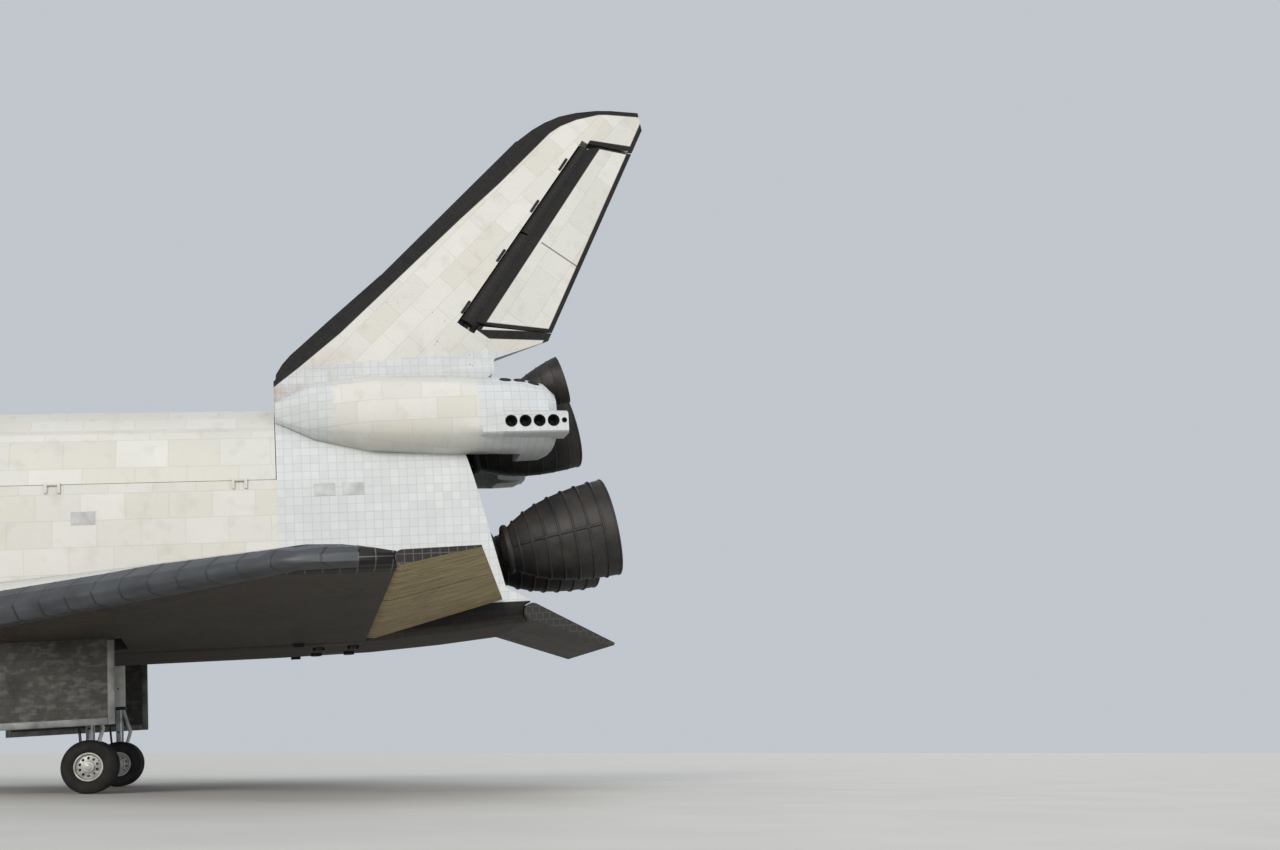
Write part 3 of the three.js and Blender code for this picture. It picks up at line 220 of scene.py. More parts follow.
def newMaterial(name, paint):  # the paint gives a look; its bump is strength and distance
    material = bpy.data.materials.new(name)
    material.use_nodes = True
    tree = material.node_tree
    shader = tree.nodes["Principled BSDF"]
    look = paint(tree)
    feed(look["colour"], shader.inputs["Base Color"])
    feed(look["roughness"], shader.inputs["Roughness"])
    shader.inputs["Metallic"].default_value = look.get("metallic", 0.0)
    shader.inputs["Specular IOR Level"].default_value = look.get("specular", 0.4)
    if "height" in look:
        bump = tree.nodes.new("ShaderNodeBump")
        bump.inputs["Strength"].default_value, bump.inputs["Distance"].default_value = look["bump"]
        feed(look["height"], bump.inputs["Height"])
        feed(bump.outputs[0], shader.inputs["Normal"])
    return material


def linear(colour):  # a screen colour as red, green and blue in linear light
    shares = [(colour >> step & 255) / 255 for step in (16, 8, 0)]
    return tuple(share / 12.92 if share <= 0.04 else ((share + 0.055) / 1.055) ** 2.4 for share in shares)


screenTones = {
    "blanket": 0xd2d1cc, "blanketDim": 0xc5c4be, "blanketWarm": 0xcdc8bc, "smudge": 0xaaa79f, "seam": 0xa09d96,
    "speck": 0x504b46, "stain": 0x8e705c, "whiteTile": 0xcbcecf, "whiteTileWorn": 0xbec1c2,
    "whiteTileJoint": 0xa0a2a2, "blackTile": 0x161617, "blackTileWorn": 0x242221, "blackTileJoint": 0x0c0c0c,
    # the belly tile tones are the black tiles painted a lighter, warmer brown-grey: painted bounce light from the
    # ground, with worn tiles and dark joints
    "paleJoint": 0x706e69, "bellyTile": 0x36322d, "bellyTileWorn": 0x4a443b, "bellyTileJoint": 0x22201d,
    "carbon": 0x46494d, "carbonWorn": 0x343639, "carbonPale": 0x5a5b5b, "carbonSeam": 0x303133,
    "scorched": 0xaa9a70, "scorchedDark": 0x685a3e, "scorchedPale": 0xbaac84, "scorchedJoint": 0x544832,
    "flap": 0x3a3733, "flapDim": 0x4e4a44, "flapWorn": 0x5c5852, "flapJoint": 0x242220, "flapEnd": 0x262626,
    "gearDoor": 0x383734, "gearDoorDim": 0x403e3a, "gearDoorWorn": 0x5c5b58, "gearDoorDark": 0x262523,
    "gearDoorJoint": 0x222120, "doorEdge": 0x808282, "doorEdgeWorn": 0x545656, "vent": 0xbcbebe,
    "ventWorn": 0x969694, "rub": 0x7e7a72, "rubWorn": 0x625e58, "radiator": 0xd6dade, "radiatorWorn": 0xb8bec4,
    "cabin": 0x80867e, "cabinWorn": 0x969a92, "tyre": 0x121212, "tyreWorn": 0x242321, "glass": 0x10141a,
    "glassWorn": 0x1e242c, "steel": 0x96989a, "steelWorn": 0x707070, "gear": 0xcececa, "gearWorn": 0xaaa8a0,
    "rim": 0xb0b1af, "rimWorn": 0x888782, "bell": 0x28282a, "bellWorn": 0x3e3a36, "dark": 0x2c2b2c,
    "darkWorn": 0x423e3c, "black": 0x101011, "blackWorn": 0x1e1d1d, "floor": 0xcac7c1, "floorWorn": 0xc3c0ba,
}
tones = {name: linear(colour) for name, colour in screenTones.items()}
tile = 0.155  # side of the small tiles, in metres


# tiles and felt

def blanketLook(tree, sizeU, sizeV, turnDeg=0.0):  # quilted felt in panels
    place = bodyPlace(tree, turnDeg)
    u, v = surfacePair(place)
    seam, pick = tileGrid(u, v, sizeU, sizeV, 0.012, 0.37)
    stitch, _ = tileGrid(u, v, 0.05, 0.05, 0.01)
    colour = layered("blanket", (ramp(pick, 0.0, 1.0), "blanketDim"),
                     (both(ramp(pick, 0.72, 0.76), 0.45), "blanketWarm"),
                     (weather(place, 0.9, 0.4), "blanketDim"),
                     (both(ramp(noise(place, 2.6, 6.0), 0.55, 0.75), 0.3), "smudge"),
                     (both(seam, 0.26), "seam"))
    height = minus(both(noise(place, 9.0), 0.5), either(seam, both(stitch, 0.5)))
    return {"colour": colour, "height": height, "roughness": 0.85, "bump": (0.5, 0.008)}


def tileLook(tree, kind, size, width, turnDeg=0.0, stagger=0.5, amount=0.8, joint=None):
    place = bodyPlace(tree, turnDeg)
    gap, pick = tileGrid(*surfacePair(place), size, size, width, stagger)
    worn = kind + "Worn"
    colour = layered(kind, (both(pick, 0.7), worn), (weather(place, 0.8, 0.6), worn),
                     (both(gap, amount), joint or kind + "Joint"))
    return {"colour": colour, "height": minus(both(pick, 0.3), gap), "roughness": 0.7, "specular": 0.3,
            "bump": (0.5, 0.005)}


def blackTiles(tree, turnDeg=0.0):
    return tileLook(tree, "blackTile", 0.15, 0.008, turnDeg)


# the black tiles of the underside, painted a lighter, warmer brown-grey as painted bounce light from the ground
def bellyTiles(tree):
    return tileLook(tree, "bellyTile", tile, 0.008, amount=0.5)


def whiteTiles(tree):
    return tileLook(tree, "whiteTile", 0.2, 0.01, stagger=0.0, amount=0.5)


def endTiles(tree, size, width, amount):  # black tiles with pale joints
    return tileLook(tree, "blackTile", size, width, stagger=0.0, amount=amount, joint="paleJoint")


def sunkJoints(colour, gap, roughness=0.7, bump=(0.5, 0.006)):
    return {"colour": colour, "height": minus(0.0, gap), "roughness": roughness, "bump": bump}


# the fin's lines, in the spaceplane's axes
finShape = {
    "leadX": 26.444, "footZ": 5.918, "trailX": 33.310, "trailSlope": 0.4931,
    "hingeX": 31.960, "hingeZ": 7.897, "hingeSlope": 0.6958, "hingeTurnDeg": 55.2,
    # share of a distance along x that is square to the line
    "trailShare": 0.8969, "hingeShare": 0.8208,
    # height, width of the black leading edge
    "leadBand": [(6.4, 0.09), (7.06, 0.215), (7.9, 0.33), (9.38, 0.38), (10.9, 0.43), (11.9, 0.49)],
    # height, edges of the black band over the rudder hinge
    "bandLeft": [(8.07, -0.14), (11.16, -0.10), (12.96, 0.06)],
    "bandRight": [(8.0, 0.37), (12.6, 0.33)],
    "tooth": {"long": 0.31, "spread": 0.617, "deep": 0.035},
    # place along the body, height of the white felt's top
    "topLine": [(33.65, 12.55), (34.05, 12.93), (34.4, 13.22), (34.8, 13.49), (35.25, 13.68), (35.85, 13.82)],
    "trailBand": 0.12,
    "rootLine": [(28.85, 7.12), (32.6, 7.37)],
    "splitLine": [(34.071, 10.302), (35.157, 9.622)],
    # slopes and sums of the cut at the heel, the cap's edge, the rudder's ends and the hinge's cove
    "heelCut": (1.452, 43.81), "heelZ": 7.70, "stubTop": 7.95, "bandTop": 13.05,
    "capLine": (0.082, 16.026), "capZ": 12.85,
    "rudderLow": (0.075, 10.581), "rudderHigh": (0.1297, 17.516),
    "coveLine": (0.0293, 0.5402), "coveZ": (7.5, 12.9), "coveReach": (-0.42, 0.06),
}


def finLines(tree):  # distances from the leading edge, the trailing edge and the rudder hinge
    shape = finShape
    x, y, z = parts(bodyPlace(tree))
    lead = both(minus(minus(x, z), shape["leadX"] - shape["footZ"]), slant)
    trailX = sloped(minus(z, shape["footZ"]), shape["trailSlope"], shape["trailX"])
    trail = both(minus(trailX, x), shape["trailShare"])
    hingeX = sloped(minus(z, shape["hingeZ"]), shape["hingeSlope"], shape["hingeX"])
    hinge = both(minus(x, hingeX), shape["hingeShare"])
    return x, y, z, lead, trail, hinge


def hingeBand(z, hinge):  # the black band that runs up the rudder hinge, with its uneven edge
    tooth = finShape["tooth"]
    along = parts(bodyPlace(z.id_data, finShape["hingeTurnDeg"]))[0]
    index = calc("FLOOR", calc("DIVIDE", along, tooth["long"]))
    step = both(calc("FRACT", both(index, tooth["spread"])), tooth["deep"])
    left = minus(minus(hinge, stepped(z, finShape["bandLeft"])), step)
    return both(over(left), over(minus(stepped(z, finShape["bandRight"]), hinge)))


def paintFin(tree):
    shape = finShape
    x, y, z, lead, trail, hinge = finLines(tree)
    place = bodyPlace(tree)
    uneven = both(minus(noise(place, 2.2), 0.5), 0.3)
    root = ramp(minus(plus(z, uneven), stepped(x, shape["rootLine"])), 0.02, -0.02)
    dots = both(specks(place, 5.0, 0.12), ramp(z, 10.0, 7.4), ramp(noise(place, 1.3), 0.48, 0.6), 0.75)
    stain = both(ramp(lead, 1.5, 0.35), ramp(z, 7.6, 6.4), ramp(noise(place, 1.7, 6.0), 0.36, 0.62), 0.75)
    behindHeel = ramp(pastLine(x, z, shape["heelCut"]), 0.0, 0.02)
    cove = both(ramp(pastLine(absolute(y), z, shape["coveLine"]), 0.0, -0.006),
                between(hinge, *shape["coveReach"]), between(z, *shape["coveZ"]))
    cap = both(ramp(hinge, -0.02, 0.0), ramp(z, shape["capZ"], shape["capZ"] + 0.03),
               ramp(pastLine(z, x, shape["capLine"]), 0.0, -0.02))
    dark = either(over(minus(stepped(z, shape["leadBand"]), lead)), over(minus(z, stepped(x, shape["topLine"]))),
                  cove, cap, over(minus(shape["trailBand"], trail)),
                  both(hingeBand(z, hinge), between(z, shape["heelZ"], shape["bandTop"]), behindHeel),
                  both(between(z, shape["heelZ"], shape["stubTop"]), behindHeel))
    return laidOver(blanketLook(tree, 1.05, 0.52, 45), (root, whiteTiles(tree)), (dots, "speck"), (stain, "stain"),
                    (dark, blackTiles(tree, 45)))


def paintRudder(tree):
    shape = finShape
    turnDeg = shape["hingeTurnDeg"]
    x, y, z, lead, trail, hinge = finLines(tree)
    lowEnd = ramp(pastLine(z, x, shape["rudderLow"]), 0.01, -0.01)
    highEnd = over(pastLine(z, x, shape["rudderHigh"]))
    dark = either(hingeBand(z, hinge), over(minus(shape["trailBand"], trail)),
                  both(lowEnd, ramp(hinge, -0.14, -0.12)), both(highEnd, ramp(hinge, 0.0, 0.02)))
    away = absolute(minus(z, stepped(x, shape["splitLine"])))
    split = both(ramp(away, 0.03, 0.015), ramp(hinge, 0.4, 0.42), 0.8)
    return laidOver(blanketLook(tree, 1.5, 0.7, turnDeg), (split, "speck"), (dark, blackTiles(tree, turnDeg)))


# where the colours of hull, pods and wings change, in the spaceplane's axes; a line is a slope and a height
hullShape = {
    "tiledEnds": (9.2, 27.2), "podTiledEnds": (28.6, 31.8), "podBack": 33.4, "podHalf": 3.2, "wingTip": 11.2,
    "noseLong": 9.0, "noseLine": (-1.35, 2.1), "baseX": 31.0,
    "windowX": 4.6, "windowTop": (0.55, 4.75), "windowFoot": (-0.26, 4.02), "windowEnd": 6.3,
}


def paintHull(tree):  # white above, black below, black round the front windows; the down-facing black tiles are painted a lighter, warmer brown-grey as painted bounce light from the ground
    shape = hullShape
    x, y, z = parts(bodyPlace(tree))
    nx, ny, nz = facing(tree)
    front, rear = shape["tiledEnds"]
    ends = either(ramp(x, front, front - 0.05), ramp(x, rear, rear + 0.05))
    noseLine = sloped(ramp(x, 0.0, shape["noseLong"]), *shape["noseLine"])
    belly = ramp(minus(z, noseLine), 0.02, 0.0)
    windowTop, windowFoot = (sloped(minus(x, shape["windowX"]), *shape[key])
                             for key in ("windowTop", "windowFoot"))
    windows = both(between(x, shape["windowX"] - 0.05, shape["windowEnd"], 0.05),
                   ramp(minus(z, windowFoot), 0.0, 0.02), ramp(minus(z, windowTop), 0.02, 0.0))
    base = both(ramp(x, shape["baseX"], shape["baseX"] + 0.1), ramp(nx, 0.5, 0.6))
    # where the black zone faces down, its tiles carry painted bounce light: a lighter, warmer brown-grey than the
    # black sides
    return laidOver(blanketLook(tree, 0.95, 0.6), (ends, whiteTiles(tree)),
                    (either(belly, windows, base), blackTiles(tree)),
                    (both(belly, ramp(nz, -0.55, -0.8)), bellyTiles(tree)))


def paintPod(tree):
    x, y, z = parts(bodyPlace(tree))
    front, rear = hullShape["podTiledEnds"]
    back, half = hullShape["podBack"], hullShape["podHalf"]
    tiled = either(ramp(x, front, front - 0.1), ramp(x, rear, rear + 0.05))
    back = both(ramp(facing(tree)[0], 0.75, 0.8), ramp(x, back, back + 0.05), ramp(absolute(y), half, half - 0.02))
    return laidOver(blanketLook(tree, 0.9, 0.5), (tiled, whiteTiles(tree)), (back, blackTiles(tree)))


def paintWing(tree):
    # the underside's black tiles are painted a lighter, warmer brown-grey as painted bounce light from the ground
    under = ramp(facing(tree)[2], 0.12, 0.1)
    tip = hullShape["wingTip"]
    outer = ramp(absolute(parts(bodyPlace(tree))[1]), tip, tip + 0.05)
    look = laidOver(blanketLook(tree, 1.2, 0.8), (under, bellyTiles(tree)), (outer, endTiles(tree, 0.3, 0.012, 0.9)))
    return {**look, "roughness": 0.7}


edgeSettings = {"panel": 0.76, "first": 14.44, "last": 27.0, "apexX": 15.245, "z": 0.5, "sealHalf": 0.03,
                "sealRise": 0.006}


def paintEdge(tree):  # grey carbon panels with a dark seam between them
    place = bodyPlace(tree)
    x, y, z = parts(place)
    run = plus(both(x, slant), both(absolute(y), slant))
    seam = ramp(fromWhole(calc("DIVIDE", run, edgeSettings["panel"])), 0.03, 0.015)
    streak = noise(place, 3.0, 4.0, (0.4, 0.4, 4.0))
    colour = layered("carbon", (weather(place, 1.1, 0.9), "carbonWorn"),
                     (both(ramp(streak, 0.5, 0.75), 0.35), "carbonPale"), (seam, "carbonSeam"))
    return sunkJoints(colour, seam, 0.42, (0.6, 0.01))


def paintElevon(tree):
    place = bodyPlace(tree)
    nx, ny, nz = facing(tree)
    x, y, z = parts(place)
    gap, pick = tileGrid(x, y, tile, tile, 0.01, 0.5)
    streak = noise(place, 2.4, 6.0, (0.35, 3.2, 1.0))
    colour = layered("scorched", (ramp(streak, 0.35, 0.72), "scorchedDark"), (both(pick, 0.3), "scorchedPale"),
                     (both(gap, 0.4), "scorchedJoint"),
                     (ramp(nz, 0.05, 0.1), blanketLook(tree, 1.1, 0.7)),
                     (ramp(absolute(ny), 0.7, 0.75), endTiles(tree, tile, 0.01, 0.5)))
    return sunkJoints(colour, gap)


def paintFlap(tree):
    place = bodyPlace(tree)
    gap, pick = tileGrid(*surfacePair(place), tile, tile, 0.01, 0.5)
    end = ramp(absolute(facing(tree)[1]), 0.7, 0.75)
    colour = layered("flap", (pick, "flapDim"), (weather(place, 1.2, 0.7), "flapWorn"), (both(gap, 0.6), "flapJoint"),
                     (end, blendColour(both(gap, 0.28), "flapEnd", "paleJoint")))
    return sunkJoints(colour, gap)


def paintGearDoor(tree):
    place = bodyPlace(tree)
    x, y, z = parts(place)
    gap, pick = tileGrid(x, z, tile, tile, 0.006, 0.5)
    mottle = noise(place, 5.0, 10.0, (1.0, 1.0, 1.8))
    colour = layered("gearDoor", (pick, "gearDoorDim"), (both(ramp(mottle, 0.48, 0.66), 0.75), "gearDoorWorn"),
                     (both(ramp(noise(place, 2.0, 6.0), 0.55, 0.7), 0.6), "gearDoorDark"),
                     (both(gap, 0.35), "gearDoorJoint"))
    return sunkJoints(colour, gap, 0.75)


def paintCabin(tree):
    gap, pick = tileGrid(*surfacePair(bodyPlace(tree)), 0.6, 0.4, 0.008, 0.5)
    return sunkJoints(blendColour(pick, "cabin", "cabinWorn"), gap, 0.6, (0.4, 0.004))


# metals, rubber and glass

def metalPaint(tone, metallic, roughness, scale=4.0):
    def paint(tree):
        place = bodyPlace(tree)
        colour = blendColour(ramp(noise(place, scale, 6.0), 0.35, 0.7), tone, tone + "Worn")
        grain = noise(place, scale * 12, 4.0)
        return {"colour": colour, "height": grain, "roughness": sloped(grain, 0.2, roughness - 0.1),
                "metallic": metallic, "bump": (0.15, 0.002)}
    return paint


def grainedPaint(tone, cloud, grain, roughness, bump, metallic=0.0):
    def paint(tree):  # the cloud is scale, detail, low, high, amount
        place = bodyPlace(tree)
        scale, detail, low, high, amount = cloud
        mask = both(ramp(noise(place, scale, detail), low, high), amount)
        return {"colour": blendColour(mask, tone, tone + "Worn"), "height": noise(place, grain),
                "roughness": roughness, "metallic": metallic, "bump": bump}
    return paint


def paintRadiator(tree):
    place = bodyPlace(tree)
    line = ramp(fromWhole(calc("DIVIDE", parts(place)[0], 0.09)), 0.1, 0.04)
    colour = blendColour(weather(place, 1.0, 0.6), "radiator", "radiatorWorn")
    return {"colour": colour, "height": line, "roughness": 0.22, "metallic": 0.8, "bump": (0.3, 0.004)}


def paintGlass(tree):
    colour = blendColour(noise(bodyPlace(tree), 1.5), "glass", "glassWorn")
    return {"colour": colour, "roughness": 0.06, "specular": 0.8}


finishRows = {
    "fin": ("finFelt", paintFin),
    "rudder": ("rudderFelt", paintRudder),
    "hull": ("hullTiles", paintHull),
    "doors": ("doorBlankets", lambda tree: blanketLook(tree, 1.14, 0.7)),
    "pod": ("podBlankets", paintPod),
    "wing": ("wingTiles", paintWing),
    # black underside tiles with painted bounce light from the ground, a lighter, warmer brown-grey
    "belly": ("bellyTiles", bellyTiles),
    "edge": ("edgeCarbon", paintEdge),
    "elevon": ("elevonTiles", paintElevon),
    "flap": ("flapTiles", paintFlap),
    "gearDoor": ("gearDoorTiles", paintGearDoor),
    "vent": ("ventPaint", grainedPaint("vent", (3.0, 5.0, 0.35, 0.7, 0.8), 20.0, 0.6, (0.1, 0.003))),
    "rub": ("hingePanelPaint", grainedPaint("rub", (2.0, 5.0, 0.35, 0.7, 0.8), 20.0, 0.5, (0.1, 0.003))),
    "noseCap": ("noseCarbon", grainedPaint("carbon", (2.0, 5.0, 0.35, 0.7, 0.9), 30.0, 0.4, (0.1, 0.004))),
    "steel": ("bareSteel", metalPaint("steel", 0.9, 0.35)),
    "gear": ("gearPaint", metalPaint("gear", 0.2, 0.45)),
    "rim": ("rimPaint", metalPaint("rim", 0.35, 0.4, 8.0)),
    "radiator": ("radiatorSilver", paintRadiator),
    "tyre": ("tyreRubber", grainedPaint("tyre", (5.0, 6.0, 0.4, 0.75, 1.0), 60.0, 0.82, (0.2, 0.003))),
    "glass": ("paneGlass", paintGlass),
    "cabin": ("cabinPaint", paintCabin),
    "shaft": ("shaftTiles", lambda tree: blackTiles(tree, finShape["hingeTurnDeg"])),
    "bell": ("bellMetal", grainedPaint("bell", (1.8, 6.0, 0.35, 0.7, 1.0), 40.0, 0.58, (0.1, 0.002), 0.25)),
    "doorEdge": ("doorEdgeMetal", metalPaint("doorEdge", 0.3, 0.5, 3.0)),
    "dark": ("darkMetal", metalPaint("dark", 0.5, 0.55)),
    "black": ("blackHole", metalPaint("black", 0.2, 0.7)),
}
finishes = {key: newMaterial(*row) for key, row in finishRows.items()}
print("finishes made:", len(finishes))

# finish, starts of the nodes' names
finishNodes = {
    "noseCap": "nose_cap", "hull": "forward_fuselage forward_thruster_module side_hatch mid_fuselage aft_fuselage",
    "glass": "windshield overhead_windows", "cabin": "flight_deck", "fin": "fin", "shaft": "rudder_shaft",
    "rudder": "rudder_panel", "flap": "body_flap", "doors": "payload_door", "radiator": "radiator",
    # the umbilical door takes the underside's black tiles with painted bounce light
    "edge": "wing_edge", "wing": "wing", "pod": "oms_pod", "dark": "oms_nozzle", "belly": "umbilical_door",
    "gearDoor": "main_gear_door nose_gear_door", "elevon": "elevon", "steel": "engine_gimbal",
    "bell": "main_engine", "gear": "main_gear_leg nose_gear",
    "rim": "main_left_wheels main_right_wheels nose_wheels",
}
nodeFinish = {start: finish for finish, starts in finishNodes.items() for start in starts.split()}


def finishOf(name):  # by the longest start that fits
    found = [key for key in nodeFinish if name.startswith(key)]
    return "tyre" if "tyre" in name else nodeFinish[max(found, key=len)]


def paintPiece(obj, finish):
    obj.data.materials.clear()
    obj.data.materials.append(finishes[finish])


for name, obj in nodes.items():
    paintPiece(obj, finishOf(name))
print("solids dressed")


# modelling helpers

def activate(obj):
    bpy.ops.object.select_all(action="DESELECT")
    obj.select_set(True)
    bpy.context.view_layer.objects.active = obj


def editAll():
    bpy.ops.object.mode_set(mode="EDIT")
    bpy.ops.mesh.select_all(action="SELECT")


def endEdit():
    bpy.ops.object.mode_set(mode="OBJECT")


def placed():  # the new primitive, with its place in its mesh
    bpy.ops.object.transform_apply(location=True, rotation=True, scale=True)
    return bpy.context.object


def settle(obj, matrix):  # puts a piece modelled at the origin in its place
    activate(obj)
    obj.matrix_world = matrix
    return placed()


def turnedShape(rows, sides):  # rows of distance along z and radius, from one end round to the other
    bpy.ops.mesh.primitive_circle_add(vertices=sides, radius=rows[0][1], location=(0, 0, 0))
    obj = bpy.context.object
    editAll()
    bpy.ops.transform.translate(value=(0, 0, rows[0][0]))
    for (z0, r0), (z1, r1) in zip(rows, rows[1:]):
        bpy.ops.mesh.extrude_region_move(TRANSFORM_OT_translate={"value": (0, 0, z1 - z0)})
        bpy.ops.transform.resize(value=(r1 / r0, r1 / r0, 1), center_override=(0, 0, z1))
    bpy.ops.mesh.select_all(action="SELECT")
    bpy.ops.mesh.remove_doubles(threshold=0.00005)
    bpy.ops.mesh.normals_make_consistent(inside=False)
    endEdit()
    return obj


def joinPieces(pieces):
    activate(pieces[0])
    for obj in pieces:
        obj.select_set(True)
    if len(pieces) > 1:
        bpy.ops.object.join()
    return pieces[0]


def ringAt(z, radius, thick, sides):
    bpy.ops.mesh.primitive_torus_add(major_radius=radius, minor_radius=thick, major_segments=sides,
                                     minor_segments=10, location=(0, 0, z))
    return placed()


def tubeBetween(start, end, radius, sides=12):
    start, end = Vector(start), Vector(end)
    turn = (end - start).to_track_quat("Z", "Y").to_euler()
    bpy.ops.mesh.primitive_cylinder_add(vertices=sides, radius=radius, depth=(end - start).length,
                                        location=(start + end) / 2, rotation=turn)
    return placed()


def boxBetween(low, high, bevel=0.01):
    low, high = Vector(low), Vector(high)
    bpy.ops.mesh.primitive_cube_add(size=1, location=(low + high) / 2)
    bpy.context.object.scale = high - low
    obj = placed()
    editAll()
    bpy.ops.mesh.bevel(offset=bevel, segments=2, affect="EDGES")
    endEdit()
    return obj


def finished(name, pieces, finish, body, angleDeg=35, replaced=None):  # one piece of the dressed model
    obj = joinPieces(pieces)
    obj.name = obj.data.name = name
    bpy.ops.object.shade_smooth_by_angle(angle=math.radians(angleDeg))
    paintPiece(obj, finish)
    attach(obj, body)
    if replaced:
        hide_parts(replaced)
    return obj


def copyOf(nodeName):  # a merged copy of a solid's mesh, free of the frame's marks
    activate(nodes[nodeName])
    bpy.ops.object.duplicate()
    obj = bpy.context.object
    for key in list(obj.keys()):
        del obj[key]
    editAll()
    bpy.ops.mesh.remove_doubles(threshold=0.0001)
    endEdit()
    return obj


def softened(nodeName):  # the solid again, with its flat faces shaded as one curve
    obj = copyOf(nodeName)
    editAll()
    bpy.ops.mesh.dissolve_limited(angle_limit=math.radians(0.2))
    endEdit()
    finished(nodeName + "_skin", [obj], finishOf(nodeName), nodes[nodeName]["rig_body"], 32, nodeName)
    modifier = obj.modifiers.new("evenShade", "WEIGHTED_NORMAL")
    modifier.keep_sharp = True
    bpy.ops.object.modifier_apply(modifier="evenShade")


def slicesOf(nodeName, cuts, rise):  # thin slices of a solid between pairs of planes, grown a little
    slices = []
    for point, direction, half in cuts:
        obj = copyOf(nodeName)
        bpy.ops.object.mode_set(mode="EDIT")
        normal = bodyTurn @ Vector(direction).normalized()
        middle = bodyMatrix @ Vector(point)
        for end in (-1, 1):
            bpy.ops.mesh.select_all(action="SELECT")
            bpy.ops.mesh.bisect(plane_co=middle + normal * end * half, plane_no=normal * end, use_fill=True,
                                clear_outer=True)
        bpy.ops.mesh.select_all(action="SELECT")
        bpy.ops.transform.shrink_fatten(value=rise)
        endEdit()
        if len(obj.data.polygons):
            slices.append(obj)
        else:
            bpy.data.objects.remove(obj)
    return slices


def skinPoint(nodeName, start, direction):  # where a line in the spaceplane's axes meets a solid
    found, place, normal, _ = nodes[nodeName].ray_cast(bodyMatrix @ Vector(start), bodyTurn @ Vector(direction))
    if not found:
        raise ValueError(f"no skin of {nodeName} at {start}")
    return place, normal


def frameOn(place, normal, along=(1, 0, 0)):  # z out of the skin, x along the body
    aft = bodyTurn @ Vector(along)
    side = normal.cross(aft).normalized()
    return Matrix.Translation(place) @ Matrix((side.cross(normal), side, normal)).transposed().to_4x4()


def onSkin(obj, nodeName, start, direction, along=(1, 0, 0)):
    return settle(obj, frameOn(*skinPoint(nodeName, start, direction), along))


inward, down = (0, 1, 0), (0, 0, -1)
# shapes turned about z come to run along x or y
axisToX = Matrix.Rotation(math.radians(90), 4, "Y")
axisToY = Matrix.Rotation(math.radians(-90), 4, "X")


# camera, floor and light

cameraSettings = {"place": (9.0517, -39.803, 0.909), "yawDeg": 12.771, "pitchDeg": 9.361, "lens": 45.073,
                  "shiftY": 0.0476}
bpy.ops.object.camera_add(location=cameraSettings["place"])
camera = bpy.context.object
camera.rotation_euler = (math.radians(90 + cameraSettings["pitchDeg"]), 0, -math.radians(cameraSettings["yawDeg"]))
camera.data.lens = cameraSettings["lens"]
camera.data.sensor_width = 36
camera.data.shift_y = cameraSettings["shiftY"]
camera.data.clip_end = 2000
bpy.context.scene.camera = camera

bpy.ops.mesh.primitive_plane_add(size=900, location=(0, 0, 0))
floor = bpy.context.object
floor.name = "floor"


def paintFloor(tree):
    cloudy = noise(tree.nodes.new("ShaderNodeTexCoord").outputs["Object"], 0.4, 4.0)
    return {"colour": blendColour(ramp(cloudy, 0.3, 0.7), "floor", "floorWorn"), "roughness": 0.8}


floor.data.materials.append(newMaterial("floorPaint", paintFloor))

# name, place, how wide it looks in degrees, strength, colour
lamps = [
    ("keyLamp", (-30, -62, 27), 24, 1.75, (1.0, 0.95, 0.88)),
    ("fillLamp", (40, -48, 16), 30, 0.6, (0.86, 0.92, 1.0)),
    ("backLamp", (24, 50, 30), 34, 0.75, (0.95, 0.97, 1.0)),
    ("lowLamp", (-4, -46, 7), 16, 0.4, (1.0, 0.9, 0.76)),
]
for name, place, wideDeg, strength, colour in lamps:
    bpy.ops.object.light_add(type="SUN", location=place)
    lamp = bpy.context.object
    lamp.name = name
    lamp.data.angle = math.radians(wideDeg)
    lamp.data.energy = strength
    lamp.data.color = colour
    lamp.rotation_euler = (-Vector(place)).to_track_quat("-Z", "Y").to_euler()

skySettings = {"colour": (0.74, 0.79, 0.85), "strength": 0.72}
world = bpy.data.worlds.new("studio")
bpy.context.scene.world = world
world.use_nodes = True
skyColour, skyStrength = world.node_tree.nodes["Background"].inputs[:2]
skyColour.default_value = (*skySettings["colour"], 1)
skyStrength.default_value = skySettings["strength"]
bpy.context.scene.view_settings.view_transform = "Standard"
print("camera, floor and light set")


# main engines

# name, place of the gimbal, pitch up, yaw outboard, in the spaceplane's axes, rise of the bands' middle
engines = [
    ("1", (30.734, 0.0, 4.470), 16, 0, -0.024),
    ("2", (31.318, -1.346, 1.920), 10, -3.5, 0.002),
    ("3", (31.318, 1.346, 1.920), 10, 3.5, 0.002),
]
engineSettings = {
    "sides": 72, "wall": 0.035,
    # distance from the gimbal and outer radius of the bell
    "bell": [(1.18, 0.30), (1.27, 0.385), (1.38, 0.478), (1.53, 0.592), (1.69, 0.688), (1.88, 0.790), (2.08, 0.877),
             (2.32, 0.958), (2.57, 1.027), (2.85, 1.085), (3.15, 1.132), (3.53, 1.170), (3.92, 1.190)],
    "throat": [(1.24, 0.12), (1.24, 0.02)],
    "bands": [1.60, 1.90, 2.22, 2.55, 2.90, 3.25, 3.60], "bandThick": 0.032,
    # distance, radius and thickness
    "lip": (3.905, 1.172, 0.032), "manifold": (1.36, 0.52, 0.09),
    "feeds": {"count": 3, "firstDeg": 30, "sunk": 0.006, "thick": 0.038,
              "steps": [1.38, 1.69, 2.08, 2.57, 3.15, 3.56]},
    "domeRadius": 1.148, "domeDegs": [68, 60, 52, 44, 36, 28, 21], "domeFoot": (0.26, 1.055),
    "domeBack": [(1.06, 0.28), (0.9, 0.2), (0.2, 0.28), (0.2, 0.95)],
    # the lugs above and below the gimbal block
    "lugs": [(0.11, 0.206), (-0.206, -0.11)], "lugHalf": 0.08, "lugLong": 0.3,
}


